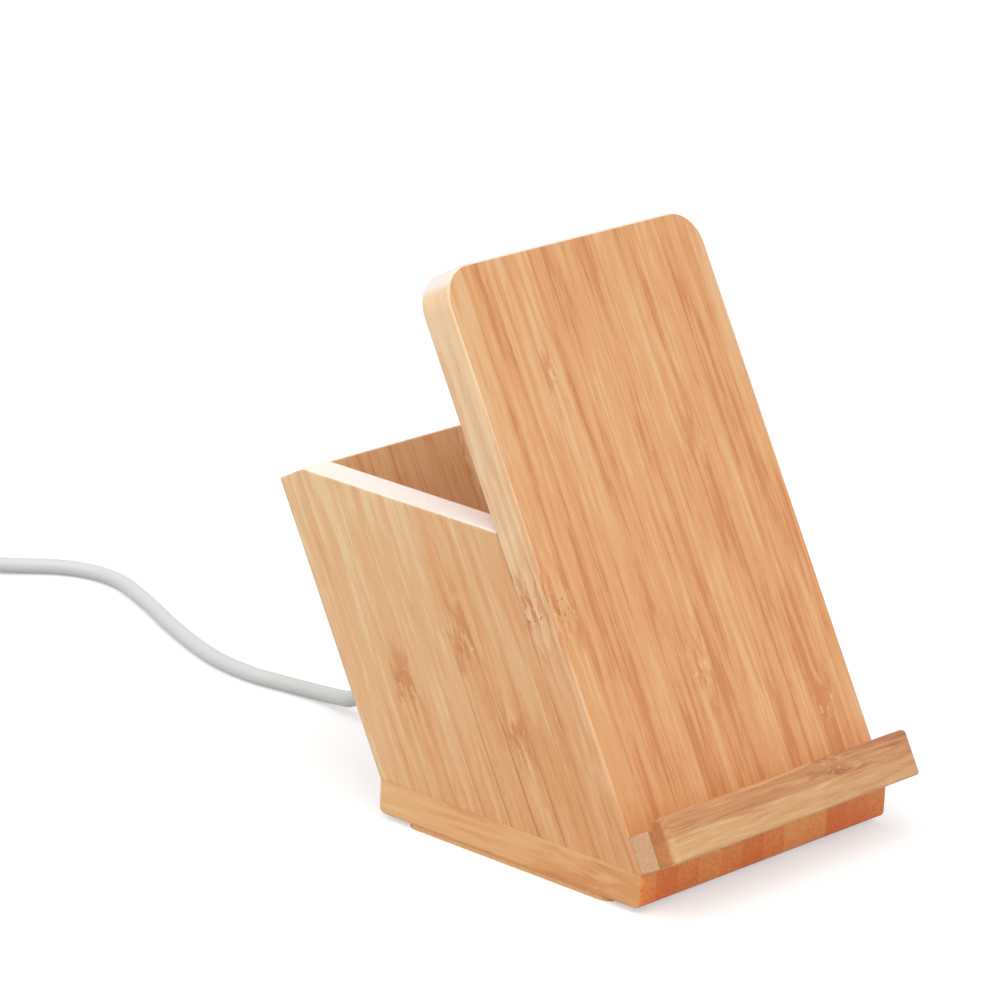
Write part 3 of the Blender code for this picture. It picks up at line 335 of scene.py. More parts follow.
def fill_ramp(ramp, blend, steps):
    """Gives a colour ramp its steps: each has a place and a colour."""
    ramp.interpolation = blend
    for spot, (place, colour) in enumerate(steps):
        step = ramp.elements[spot] if spot < 2 else ramp.elements.new(place)
        step.position = place
        step.color = colour


def lay_strips(name, across, grain, strip, first, ledger):
    """Starts a finish with strips this wide, counted from first, and reads the ledger for each point. What it
    returns is handed from stage to stage, and each stage adds what it drew."""
    finish, tree, where = new_finish(name)
    turn = Matrix((across, grain, across.cross(grain))).transposed().to_euler()
    board = add(tree, "Mapping", {
        "Vector": where["Object"], "Location": HEEL, "Rotation": turn, "Scale": (0.001, 0.001, 0.001),
    }, vector_type="TEXTURE")
    x, along, through = add(tree, "SeparateXYZ", [board]).outputs
    count = add(tree, "Math MULTIPLY_ADD", [x, 1 / strip, -first / strip])
    index = add(tree, "Math FLOOR", [count])
    book = chain(tree, index, ("Math MULTIPLY_ADD", 1 / len(ledger), 0.5 / len(ledger)), ("ValToRGB",))
    steps = []
    for spot, (tone, *knuckle, glue) in enumerate(ledger):
        place, strength = knuckle or (LEDGER_START, 0.0)
        steps.append((spot / len(ledger), (tone, (place - LEDGER_START) / LEDGER_SPAN, strength, glue)))
    fill_ramp(book.color_ramp, "CONSTANT", steps)
    tone, height, strength = add(tree, "SeparateColor", [book]).outputs
    shift = chain(tree, add(tree, "CombineXYZ", [index, index, tone]), ("VectorMath MULTIPLY", STRIP_SHIFT))
    return SimpleNamespace(
        finish=finish, tree=tree, normal=where["Normal"], board=board, x=x, along=along, through=through,
        shift=shift, joint=add(tree, "Math PINGPONG", [count, 0.5]), plain_joint=book.outputs["Alpha"],
        knuckle=add(tree, "Math MULTIPLY_ADD", [height, LEDGER_SPAN, LEDGER_START]), strength=strength,
        tone=tone,
    )


# %% [markdown]
# ## Laminated bamboo: the grain
#
# Bamboo has no year rings. Its grain is bundles of fibres that run the whole length of the cane, so every
# pattern is a noise that is drawn out along the strip: narrow for the fibres, wider for the bands between
# them. Wave patterns are the usual way to draw wood, but they give the rings that bamboo hasn't got. Each
# strip was cut from another place on the cane, so each reads the noise at another place.

# %% Fibres, bands and patches
FIBRE = (0.42, 20.0, 0.60)    # width, length and depth of a fibre streak in millimetres
BAND = (2.2, 40.0, 2.6)       # the same for the broader bands in a strip
SMUDGE = (1.5, 9.0, 1.6)      # the same for the reddish smudges near a knuckle
RAGGED = (1.6, 3.2, 1.6)      # the same for the patches in a knuckle


def draw_fibres(wood, wave):
    """Fibres, bands, smudges and ragged patches. wave is how much the first two wander."""
    drawn = []
    for size, detail, distortion in (
        (FIBRE, 4.0, wave), (BAND, 2.0, wave + 0.4), (SMUDGE, 3.0, 0.6), (RAGGED, 3.0, 1.6),
    ):
        spot = add(wood.tree, "VectorMath MULTIPLY_ADD", [wood.board, [1 / s for s in size], wood.shift])
        drawn.append(add(wood.tree, "TexNoise", {
            "Vector": spot, "Scale": 1.0, "Detail": detail, "Roughness": 0.62, "Distortion": distortion,
        }))
    wood.fibres, wood.bands, wood.smudges, wood.ragged = drawn


# %% [markdown]
# ## Laminated bamboo: the knuckles
#
# Where the cane had a ring, the planed strip shows an oval eye. Its edge is ragged, since the fibres part and
# join there. Inside it the wood is redder in smudges and paler in flames, with a few dark specks, and a stain
# fades out above and below. The eye could be painted once and stamped on each strip, but then every knuckle
# would be the same. Here its oval is broken up by the patches that are drawn already.

# %% Knuckles
EYE = (3.6, 4.4)              # half width and half length of a knuckle's eye in millimetres
SPECK = (0.95, 1.10, 0.95)    # spacing of the dark specks in it


def draw_knuckles(wood, strip):
    """The stain, the red smudges, the pale flames and the dark specks of each strip's knuckle."""
    tree = wood.tree
    away = add(tree, "Math SUBTRACT", [wood.along, wood.knuckle])
    aside = add(tree, "Math MULTIPLY_ADD", [wood.joint, -strip, strip / 2])
    oval = chain(
        tree, add(tree, "CombineXYZ", [aside, away]),
        ("VectorMath MULTIPLY", (1 / EYE[0], 1 / EYE[1], 0)), ("VectorMath LENGTH",),
    )
    eye = chain(
        tree, add(tree, "Math MULTIPLY_ADD", [wood.ragged, 1.5, oval]),
        ("MapRange SMOOTHSTEP", 1.25, 1.85, 1.0, 0.0), ("Math MULTIPLY", wood.strength),
    )
    heart = add(tree, "MapRange SMOOTHSTEP", [eye, 0.82, 0.96])
    spot = add(tree, "VectorMath MULTIPLY", [wood.board, [1 / s for s in SPECK]])
    marks = []
    for pattern, limits, within in (
        (add(tree, "Math ABSOLUTE", [away]), (2.0, 14.0, 0.85, 0.0), wood.strength),
        (wood.smudges, (0.40, 0.60, 0.1, 0.9), eye),
        (wood.ragged, (0.33, 0.43, 0.65, 0.0), eye),
        (add(tree, "TexVoronoi", {"Vector": spot, "Scale": 1.0}), (0.12, 0.26, 1.0, 0.0), heart),
    ):
        marks.append(chain(tree, pattern, ("MapRange SMOOTHSTEP", *limits), ("Math MULTIPLY", within)))
    stain, wood.red, wood.flame, wood.specks = marks
    streak = add(tree, "MapRange SMOOTHSTEP", [wood.smudges, 0.44, 0.62])
    wood.stain = add(tree, "Math MULTIPLY", [stain, streak])


# %% [markdown]
# ## Laminated bamboo: sawn ends and glue
#
# A face that is sawn across the grain is known by its direction, so no board has to say where its ends are:
# the same finish shows streaks on the sides and dots on the ends. The glue of a joint is a thin brown line at
# the strip's edges, plainer in some joints than in others, and it grows faint where the press closed the
# joint well. Two marks belong to some boards only: the joint between two boards, which shows on their sides,
# and a scorched ring where a blunt cutter rubbed near the edge of an end. Both are lines at a known place.

# %% Sawn ends, glue lines and the two rarer marks
PORE, PORE_LENGTH = 0.50, 40.0   # spacing of the fibre ends on a sawn end, and how far each runs in
GLUE_WIDTH = 0.34                # millimetres over which a glue line fades out
SEAM_HALF = 0.08                 # half the width of the joint between two boards


def draw_ends(wood, grain, sawn_at):
    """Where a face is sawn across the grain, by how far it has turned (sawn_at), and the dots on it."""
    facing = add(wood.tree, "VectorMath DOT_PRODUCT", [wood.normal, grain])
    wood.sawn = chain(wood.tree, facing, ("Math ABSOLUTE",), ("MapRange SMOOTHSTEP", *sawn_at))
    spacing = (1 / PORE, 1 / PORE_LENGTH, 1 / PORE)
    spot = add(wood.tree, "VectorMath MULTIPLY_ADD", [wood.board, spacing, wood.shift])
    pores = add(wood.tree, "TexVoronoi", {"Vector": spot, "Scale": 1.0})
    wood.pores = add(wood.tree, "MapRange SMOOTHSTEP", [pores, 0.20, 0.50, 1.0, 0.0])


def draw_glue(wood, strip, lines_to, end_glue, seam, ring):
    """Glue lines. They fade where the grain reaches lines_to, and on an end they are end_glue as strong. seam
    is where across the strips a joint between boards lies, and ring the centre and half size of a scorch."""
    tree = wood.tree
    plain = add(tree, "Math MULTIPLY_ADD", [wood.smudges, 50.0, wood.along])
    plain = add(tree, "MapRange SMOOTHSTEP", [plain, lines_to, lines_to + 25, 1.0, 0.15])
    on_end = add(tree, "MapRange", [wood.sawn, 0.0, 1.0, 1.0, end_glue])
    glue = chain(
        tree, wood.joint, ("MapRange SMOOTHSTEP", 0.0, GLUE_WIDTH / strip, 1.0, 0.0),
        ("Math MULTIPLY", wood.plain_joint), ("Math MULTIPLY", plain), ("Math MULTIPLY", on_end),
    )
    lines = []
    if seam is not None:
        lines.append((add(tree, "Math COMPARE", [wood.x, seam, SEAM_HALF]), plain, 0.8))
    if ring is not None:
        centre, half = ring
        box = chain(tree, wood.board, ("VectorMath SUBTRACT", centre), ("VectorMath ABSOLUTE",))
        box = add(tree, "VectorMath SUBTRACT", [box, half])
        x, _, z = add(tree, "SeparateXYZ", [box]).outputs
        scorch = add(tree, "Math MULTIPLY_ADD", [wood.ragged, 0.7, add(tree, "Math SMOOTH_MAX", [x, z, 0.8])])
        lines.append((add(tree, "Math COMPARE", [scorch, 0.35, 0.16]), wood.sawn, 0.7))
    for line, within, strength in lines:
        line = chain(tree, line, ("Math MULTIPLY", within), ("Math MULTIPLY", strength))
        glue = add(tree, "Math MAXIMUM", [glue, line])
    wood.glue = glue


# %% [markdown]
# ## Laminated bamboo: the colour
#
# A strip has one depth of tone, and the bands, the fibres and the smudges darken it by their own weights. The
# sum picks a colour between four bamboo tones, which keeps every mixture a colour that bamboo has. Adding
# dark paint would be simpler, but it turns the wood grey. The knuckle's marks, the sawn end and the glue are
# laid over it in the order in which they cover each other on the real board.

# %% Colour of the wood, and the whole finish
TONES = ("E9C899", "E1B17F", "DB9D66", "CB824D")
TONE_PLACES = (0.0, 0.36, 0.70, 1.0)
SPECK_BROWN, GLUE_BROWN = "8A5230", "B0703F"
# Painted highlight: the rims and the backrest's top are sawn ends that face up, and these end colours paint
# them near white for the light from above and its sheen.
RIM_PAINTED_HIGHLIGHT, FACE_TOP_PAINTED_HIGHLIGHT = ("FAF0E6", "F2DCC8"), ("F3E4DA", "EBD2C0")
SHADE_LENGTH = 120.0   # millimetres along the grain from the tone of a board's foot to that of its top


def colour_wood(wood, tones, ends, foot_shade, end_shade):
    """Colour of each point, from the strip's tone to the marks on it. foot_shade is how much deeper the tone
    is at the foot, and end_shade how much deeper a sawn end gets with each millimetre through the board."""
    tree, depth = wood.tree, wood.tone
    for pattern, weight in ((wood.bands, 1.3), (wood.fibres, 0.65), (wood.smudges, 0.55)):
        depth = add(tree, "Math MULTIPLY_ADD", [pattern, weight, depth])
    foot = add(tree, "MapRange", [wood.along, 0.0, SHADE_LENGTH, foot_shade - 1.25, -foot_shade - 1.25])
    face = add(tree, "ValToRGB", [add(tree, "Math ADD", [depth, foot], use_clamp=True)])
    fill_ramp(face.color_ramp, "EASE", [(place, to_linear(code)) for place, code in zip(TONE_PLACES, tones)])
    end = chain(tree, wood.fibres, ("Math ADD", wood.tone), ("Math ADD", foot))
    for pattern, weight in ((wood.through, -end_shade), (wood.smudges, 0.35), (wood.pores, 0.42)):
        end = add(tree, "Math MULTIPLY_ADD", [pattern, weight, end])
    end = add(tree, "Mix RGBA", {0: add(tree, "MapRange", [end, -0.275, 0.725]), 6: ends[0], 7: ends[1]})
    for share, cover in (
        (wood.stain, tones[3]), (wood.red, tones[3]), (wood.flame, tones[0]), (wood.specks, SPECK_BROWN),
        (wood.sawn, end), (wood.glue, GLUE_BROWN),
    ):
        face = add(tree, "Mix RGBA", {0: share, 6: face, 7: cover})
    return face


def laminated_bamboo(name, across, grain, strip, first, ledger, ends, tones=TONES, sawn_at=(0.35, 0.85),
                     end_glue=0.15, wave=0.0, lines_to=500.0, foot_shade=0.0, end_shade=0.0, seam=None,
                     ring=None):
    """Clear-coated laminated bamboo. ledger has for each strip its tone and how plain its joint is, and
    between the two, if it has a knuckle, where along the grain that sits and how strong it is."""
    wood = lay_strips(name, across, grain, strip, first, ledger)
    draw_fibres(wood, wave)
    draw_knuckles(wood, strip)
    draw_ends(wood, grain, sawn_at)
    draw_glue(wood, strip, lines_to, end_glue, seam, ring)
    face = colour_wood(wood, tones, ends, foot_shade, end_shade)
    # The sanded surface: fibres stand a little proud, the glue line and the pores a little sunk
    gloss = add(wood.tree, "MapRange", [wood.fibres, 0.0, 1.0, 0.44, 0.62])
    sunk = chain(wood.tree, wood.pores, ("Math MULTIPLY", wood.sawn), ("Math ADD", wood.glue))
    relief = add(wood.tree, "Math MULTIPLY_ADD", [sunk, -0.8, wood.fibres])
    coat = {"IOR": 1.5, "Coat Weight": 0.12, "Coat Roughness": 0.28}
    end_finish(wood.tree, face, gloss, relief, 0.5, 0.00006, coat)
    print(name, "has", len(ledger), "strips of", strip, "mm")
    return wood.finish


# %% [markdown]
# ## The boards' own wood
#
# Each board gets its own ledger, matched to the photograph where the board can be seen, and made up in the
# same spirit where it can't. The sides' strips stand along the lean and are counted from the face to the
# rear, those of the face, the rear wall and the base from left to right, and those of the ledge from its foot
# up. One finish for all boards would be shorter, but then each board would be cut from the same plank, which
# no workshop does.

# %% Nine finishes of bamboo
left_side = laminated_bamboo("laminated_bamboo_left_side", DEEP, ALONG, 6.13, -1.79, [
    (0.36, 0.0), (0.42, 0.0), (0.44, 0.5), (0.46, 31.5, 0.75, 0.8), (0.50, 53.4, 0.8, 0.8), (0.40, 0.6),
    (0.32, 0.3), (0.38, 47.8, 0.8, 0.5), (0.31, 0.3), (0.31, 0.2), (0.4, 0.1),
], RIM_PAINTED_HIGHLIGHT, lines_to=50.0, foot_shade=0.28, seam=7.83)
right_side = laminated_bamboo("laminated_bamboo_right_side", DEEP, ALONG, 6.13, -0.4, [
    (0.40, 0.1), (0.34, 22.0, 0.8, 0.3), (0.48, 0.2), (0.52, 61.0, 0.6, 0.2), (0.40, 0.4),
    (0.45, 12.0, 0.7, 0.2), (0.50, 0.3), (0.38, 38.0, 0.8, 0.2), (0.47, 0.3), (0.43, 0.2), (0.5, 0.1),
], RIM_PAINTED_HIGHLIGHT, lines_to=50.0, foot_shade=0.22, seam=7.83)
rear_side = laminated_bamboo("laminated_bamboo_rear_wall", ACROSS, ALONG, 6.2, -37.2, [
    (0.48, 0.2), (0.38, 70.0, 0.7, 0.3), (0.50, 0.2), (0.44, 0.4), (0.54, 44.0, 0.8, 0.3), (0.40, 0.2),
    (0.47, 0.3), (0.36, 88.0, 0.7, 0.2), (0.50, 0.3), (0.45, 58.0, 0.9, 0.4), (0.53, 0.2), (0.42, 0.2),
], RIM_PAINTED_HIGHLIGHT)
# The face's low sawn_at spreads its painted-highlight end colour over the round top corners.
face_side = laminated_bamboo("laminated_bamboo_face", ACROSS, ALONG, 6.2, -37.2, [
    (0.60, 53.0, 1.0, 0.2), (0.80, 0.3), (0.68, 0.2), (0.60, 96.0, 0.7, 0.3), (0.76, 0.2),
    (0.66, 34.0, 0.8, 0.2), (0.78, 0.2), (0.60, 0.3), (0.72, 78.0, 0.7, 0.2), (0.66, 0.3),
    (0.77, 20.0, 0.8, 0.2), (0.66, 0.2),
], FACE_TOP_PAINTED_HIGHLIGHT, sawn_at=(0.08, 0.36), foot_shade=0.06)
face_edge = laminated_bamboo("laminated_bamboo_face_edge", DEEP, ALONG, 10.6, 0.0, [
    (0.36, 53.3, 1.0, 0.0), (0.36, 0.0),
], FACE_TOP_PAINTED_HIGHLIGHT, tones=("EECDA4", "E4B587", "DC9F6A", "CA814C"), sawn_at=(0.45, 0.75), foot_shade=0.42)
base_side = laminated_bamboo("laminated_bamboo_base", ACROSS, TO_REAR, 6.36, -39.0, [
    (0.30, 12.0, 0.5, 0.2), (0.58, 0.3), (0.34, 0.2), (0.16, 0.2), (0.30, 52.0, 0.5, 0.3), (0.54, 0.3),
    (0.30, 0.2), (0.00, 34.0, 0.5, 0.3), (0.06, 0.3), (0.60, 0.2), (0.46, 0.2), (0.32, 0.3),
], ("F6AC60", "E0680C"), tones=("E8BE8A", "E2AE76", "DA9A60", "CA8048"), end_glue=0.0, foot_shade=0.4,
    end_shade=0.055)
LEDGE_TONES = ("D8B07F", "CE9B69", "C28655", "A46036")
ledge_side = laminated_bamboo("laminated_bamboo_ledge_rail", ALONG, ACROSS, 5.0, 0.0, [
    (0.58, 0.1), (0.90, 12.8, 0.8, 0.1),
], ("C88046", "A85A26"), tones=LEDGE_TONES, sawn_at=(0.80, 0.98), end_glue=6.0, wave=1.6, foot_shade=-0.28,
    ring=((3.8, 0.0, -7.3), (3.3, 100.0, 1.9)))
plank_side = laminated_bamboo("laminated_bamboo_ledge_plank", ALONG, ACROSS, 8.0, -0.2, [
    (0.45, 0.0), (0.45, 0.0),
], ("D9AC82", "C28E60"), tones=LEDGE_TONES)
floor_side = laminated_bamboo("laminated_bamboo_well_floor", TO_REAR, ACROSS, 6.2, 0.0, [
    (0.40, 8.0, 0.7, 0.3), (0.52, 0.3), (0.46, 0.3), (0.38, -14.0, 0.7, 0.3), (0.50, 0.3), (0.44, 0.3),
    (0.5, 22.0, 0.7, 0.3), (0.4, 0.3), (0.5, 0.3),
], RIM_PAINTED_HIGHLIGHT)

# %% [markdown]
# ## The boards of the block
#
# In the CAD model the boards stand 0.3 mm apart, so that each stays a body of its own. In real life they are
# glued: where two meet, the edges are sharp and the joint is a hair line, and every free edge is sanded
# round. So each visible board is built again here on the same outlines, with the joints closed to 0.04 mm or
# less. A board could be a cube with a bevel, but most of these are cut level at the foot and lean, so a board
# is made from two matching rings of corners, and each edge is then told how round it is.

# %% How a board is made
GLUE_LINE, BASE_LINE = 0.000005, 0.00004
HALF = 0.037
SIDE, REAR, FACE = 0.0078, 0.0070, 0.0078
REAR_OUTER = 0.068 * cos(LEAN)
REAR_INNER = REAR_OUTER - REAR
RIM = 0.0576
SANDED = 0.0005
NEAR = 0.0001      # places that are closer than this are taken for the same
OVERCUT = 0.004    # how far a cutting tool stands out of the board


def settle(piece):
    """Turns a piece's modifiers into its plain mesh."""
    view = bpy.context.evaluated_depsgraph_get()
    shown = piece.evaluated_get(view)
    plain = bpy.data.meshes.new_from_object(shown, preserve_all_data_layers=True, depsgraph=view)
    piece.modifiers.clear()
    old = piece.data
    piece.data = plain
    plain.name = piece.name
    bpy.data.meshes.remove(old)


@contextmanager
def reshaping(piece):
    """Opens a piece's mesh for editing, and writes it back when the block ends."""
    bm = bmesh.new()
    bm.from_mesh(piece.data)
    yield bm
    bm.to_mesh(piece.data)
    bm.free()


def dress(piece, finish, slot, body, *nodes):
    """Gives a piece its finish and its body, and lets it stand for CAD nodes."""
    piece.data.materials.clear()
    piece.data.materials.append(finish)
    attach(piece, body)
    if nodes:
        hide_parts(*nodes)


def give_edges(piece, left, right, reach=NEAR, least_turn=0.8):
    """Gives a board's left and right edges finishes of their own: the faces within reach of its sides that
    look outwards by at least this much."""
    for spot, (side, finish) in enumerate(((-1, left), (1, right))):
        piece.data.materials.append(finish)
        for polygon in piece.data.polygons:
            if polygon.normal.x * side > least_turn and polygon.center.x * side > HALF - reach:
                polygon.material_index = spot + 1


def between_rings(name, first, second):
    """Closed solid between two rings of as many points."""
    piece = put(name, bpy.data.meshes.new(name))
    with reshaping(piece) as bm:
        low, high = [bm.verts.new(point) for point in first], [bm.verts.new(point) for point in second]
        bm.faces.new(low)
        bm.faces.new(high[::-1])
        for spot in range(len(low)):
            after = (spot + 1) % len(low)
            bm.faces.new((low[after], low[spot], high[spot], high[after]))
        bmesh.ops.recalc_face_normals(bm, faces=bm.faces)
    return piece


def sweep(name, outline, place_of, start, end):
    """Closed solid that an outline sweeps from start to end. place_of places a point of it at a level."""
    return between_rings(name, *([place_of(point, level) for point in outline] for level in (start, end)))


def on_lean(corner, x):
    """Place of a corner that is given by its depth and its place along the lean."""
    return leaning(x, *corner)


def round_over(piece, radius_of, segments=4):
    """Rounds each sharp edge by radius_of(middle, direction), and keeps the faces between flat."""
    radii = {}
    with reshaping(piece) as bm:
        weights = bm.edges.layers.float.new("bevel_weight_edge")
        for edge in bm.edges:
            if edge.calc_face_angle(0) > radians(24):
                start, end = (vertex.co for vertex in edge.verts)
                radii[edge] = radius_of((start + end) / 2, (end - start).normalized())
        largest = max(radii.values())
        for edge, radius in radii.items():
            edge[weights] = radius / largest
            edge.smooth = radius > 0
        for face in bm.faces:
            face.smooth = True
    bevel = piece.modifiers.new("sanded_edges", "BEVEL")
    bevel.width = largest
    bevel.segments = segments
    bevel.limit_method = "WEIGHT"
    bevel.use_clamp_overlap = False
    bevel.harden_normals = True
    settle(piece)


def runs_across(direction):
    """Whether an edge runs from left to right."""
    return abs(direction.x) > 0.5


def oblong(left, low, right, high):
    """Corners of a rectangle, round from the first."""
    return [(left, low), (right, low), (right, high), (left, high)]


def rounded(corners, radii, steps=8):
    """Flat outline with its corners rounded."""
    outline = []
    for spot, radius in enumerate(radii):
        corner = Vector(corners[spot])
        if radius == 0:
            outline.append(corner)
            continue
        to_before = (Vector(corners[spot - 1]) - corner).normalized()
        to_after = (Vector(corners[(spot + 1) % len(corners)]) - corner).normalized()
        half = to_before.angle(to_after) / 2
        centre = corner + (to_before + to_after).normalized() * radius / sin(half)
        from_centre = (corner + to_before * radius / tan(half)) - centre
        to_centre = (corner + to_after * radius / tan(half)) - centre
        sweep_angle = from_centre.angle(to_centre)
        for step in range(steps + 1):
            share = step / steps
            arm = from_centre * sin((1 - share) * sweep_angle) + to_centre * sin(share * sweep_angle)
            outline.append(centre + arm / sin(sweep_angle))
    return outline


# %% [markdown]
# ## Side panels and rear wall
#
# The well behind the face has two side panels and a rear wall. They lean with the face and are cut level at
# the foot and at the rim. The panels stand between the backrest and the rear wall, so only the long edges of
# their rim are free, and only those are sanded. The rear wall runs over the panels' ends and has a notch at
# its foot for the plug. The notch could be built into the outline, but it is cut level through a leaning
# board, so it is cut out with a Boolean, as a saw would do it.

# %% Side panels and rear wall
NOTCH_HALF, NOTCH_RISE, NOTCH_CORNER = 0.0065, 0.0066, 0.0020
NOTCH_FROM, NOTCH_TO = 0.010, 0.030   # the cutting tool reaches from inside the well to behind the wall

upright = oblong(FACE + GLUE_LINE, BASE_LINE, REAR_INNER - GLUE_LINE, RIM)
panel_corners = [(depth, level_place(rise, depth)) for depth, rise in upright]


def panel_edges(middle, direction):
    """Only the rim's long edges are sanded round."""
    return SANDED if middle.z > BASE_TOP + RIM - NEAR and not runs_across(direction) else 0


for side, turn, finish in (("left", -1, left_side), ("right", 1, right_side)):
    panel = sweep("side_board_" + side, panel_corners, on_lean, turn * HALF, turn * (HALF - SIDE))
    round_over(panel, panel_edges)
    dress(panel, finish, "bamboo_side", "stand", "side_panel_" + side)

rear_top = level_place(RIM, REAR_INNER)
rear_corners = [
    (REAR_INNER, level_place(BASE_LINE, REAR_INNER)), (REAR_OUTER, level_place(BASE_LINE, REAR_OUTER)),
    (REAR_OUTER, rear_top), (REAR_INNER, rear_top),
]
rear_board = sweep("rear_board", rear_corners, on_lean, -HALF, HALF)


def rear_edges(middle, direction):
    """The rear wall is sanded round where it meets the air, and sharp where it meets the panels and base."""
    depth, place = in_lean(middle)
    at_back_corner = depth > REAR_OUTER - NEAR and abs(middle.x) > HALF - NEAR
    return SANDED if place > rear_top - NEAR or at_back_corner else 0


def carve(piece, tool):
    """Cuts the tool's shape out of the piece, and takes the tool away."""
    cut = piece.modifiers.new("carved", "BOOLEAN")
    cut.operation = "DIFFERENCE"
    cut.solver = "EXACT"
    cut.object = tool
    settle(piece)
    bpy.data.objects.remove(tool, do_unlink=True)
    if "custom_normal" in piece.data.attributes:
        piece.data.attributes.remove(piece.data.attributes["custom_normal"])
    for face in piece.data.polygons:
        face.use_smooth = True
    piece.data.set_sharp_from_angle(angle=radians(30))
    flat = piece.modifiers.new("flat_faces", "WEIGHTED_NORMAL")
    flat.keep_sharp = True
    settle(piece)


round_over(rear_board, rear_edges)
notch = rounded(oblong(-NOTCH_HALF, -OVERCUT, NOTCH_HALF, NOTCH_RISE), [0, 0, NOTCH_CORNER, NOTCH_CORNER])
carve(rear_board, sweep("notch_tool", notch, lambda p, y: (p.x, y, BASE_TOP + p.y), NOTCH_FROM, NOTCH_TO))
dress(rear_board, rear_side, "bamboo_side", "stand", "rear_wall")
give_edges(rear_board, left_side, right_side)
print("rear wall has", len(rear_board.data.polygons), "faces; notch", 2 * NOTCH_HALF * 1000, "mm wide")

# %% [markdown]
# ## Base board and backrest
#
# The base is a level board, with its grain from front to back, so its front shows sawn ends. The ends are
# well rounded underneath, and a thin sheet is glued below. The backrest is the longest board. It carries the
# ledge, and the coil sits in a round pocket that is milled into it from behind. Its top corners could be
# bevelled, but they are drawn round in the outline, because a bevel this wide would run into the sanded
# edges.

# %% Base board and backrest
BASE_LOW, BASE_LENGTH = 0.0010, 0.0680
BASE_END_ROUND, BASE_SIDE_ROUND, BASE_TOP_ROUND = 0.0020, 0.0008, 0.00012
MAT_INSET, MAT_FRONT, MAT_REAR, MAT_CORNER = 0.0006, 0.0080, 0.0065, 0.0030
BACKREST_LENGTH, BACKREST_CORNER = 0.1203, 0.0075
POCKET_RADIUS, POCKET_SKIN, POCKET_STRIP, CHARGE_PLACE = 0.0252, 0.0026, 0.0035, 0.0696
POCKET_STEPS = 96

base_corners = oblong(FRONT, BASE_LOW, FRONT + BASE_LENGTH, BASE_TOP)
base_board = sweep("base_block", base_corners, lambda corner, x: (x, *corner), -HALF, HALF)


def base_edges(middle, direction):
    """The ends' lower edges are well rounded, the sides' a little, and the top edge is nearly sharp."""
    if abs(direction.z) > 0.5:
        return BASE_SIDE_ROUND
    if middle.z > BASE_TOP - NEAR:
        return BASE_TOP_ROUND
    return BASE_END_ROUND if runs_across(direction) else BASE_SIDE_ROUND


round_over(base_board, base_edges, 6)
dress(base_board, base_side, "bamboo_base", "stand", "base_board")

mat_side, mat_rear = HALF - MAT_INSET, FRONT + BASE_LENGTH - MAT_REAR
mat_outline = rounded(oblong(-mat_side, FRONT + MAT_FRONT, mat_side, mat_rear), [MAT_CORNER] * 4)
mat = sweep("foot_sheet", mat_outline, lambda p, z: (p.x, p.y, z), 0.0, BASE_LOW - GLUE_LINE)

# The foot is cut level, so the outline is a little shorter at the back than at the face
backrest_rings = []
for depth in (0, FACE):
    corners = oblong(-HALF, level_place(BASE_LINE, depth), HALF, BACKREST_LENGTH)
    outline = rounded(corners, [0, 0, BACKREST_CORNER, BACKREST_CORNER], 12)
    backrest_rings.append([leaning(point.x, depth, point.y) for point in outline])
backrest = between_rings("backrest", *backrest_rings)

# The long rear edges change from glued to free at the rim, so they are cut there first
rim_place = level_place(RIM, FACE)
with reshaping(backrest) as bm:
    everything = bm.verts[:] + bm.edges[:] + bm.faces[:]
    bmesh.ops.bisect_plane(bm, geom=everything, plane_co=leaning(0, 0, rim_place), plane_no=ALONG)


def backrest_edges(middle, direction):
    """Glued below the rim at the back and along the foot, sanded elsewhere."""
    depth, place = in_lean(middle)
    glued = depth > FACE / 2 and place < rim_place - NEAR
    at_foot = place < FACE and runs_across(direction)
    return 0 if glued or at_foot else SANDED


round_over(backrest, backrest_edges)

# The pocket for the coil: a disc with a strip down to the foot, from behind
opening = asin(POCKET_STRIP / POCKET_RADIUS)
pocket_outline = [(POCKET_STRIP, -OVERCUT)]
for step in range(POCKET_STEPS + 1):
    angle = -pi / 2 + opening + (2 * pi - 2 * opening) * step / POCKET_STEPS
    pocket_outline.append((POCKET_RADIUS * cos(angle), CHARGE_PLACE + POCKET_RADIUS * sin(angle)))
pocket_outline.append((-POCKET_STRIP, -OVERCUT))
carve(backrest, sweep(
    "pocket_tool", pocket_outline, lambda p, depth: leaning(p[0], depth, p[1]), POCKET_SKIN, FACE + OVERCUT
))
dress(backrest, face_side, "bamboo_face", "stand", "backrest_board")
give_edges(backrest, face_edge, face_edge, reach=BACKREST_CORNER, least_turn=0.3)
print("backrest has", len(backrest.data.polygons), "faces")

# %% [markdown]
# ## The ledge
#
# Two boards are glued to the foot of the face: a plank, and in front of it a lip that stands a little higher.
# The back of the lip falls in a short slope to the height of the plank. The two could be one solid, but the
# joint between them shows at the ends, where the plank is paler than the lip.

# %% Ledge: plank and lip
PLANK, PLANK_RISE, PLANK_EDGE = 0.0052, 0.0076, 0.0002
LIP_RISE, LIP_THICK, LIP_STEP, LIP_SLOPE = 0.0094, 0.0044, 0.0011, 0.0008
LIP_CORNER, LIP_TOP, LIP_RIDGE = 0.0020, 0.0010, 0.0008

plank = sweep("ledge_board", oblong(-PLANK, 0, -GLUE_LINE, PLANK_RISE), on_lean, -HALF, HALF)
round_over(plank, lambda middle, direction: 0 if runs_across(direction) else PLANK_EDGE, 3)
dress(plank, plank_side, "bamboo_ledge", "stand", "ledge_plank")

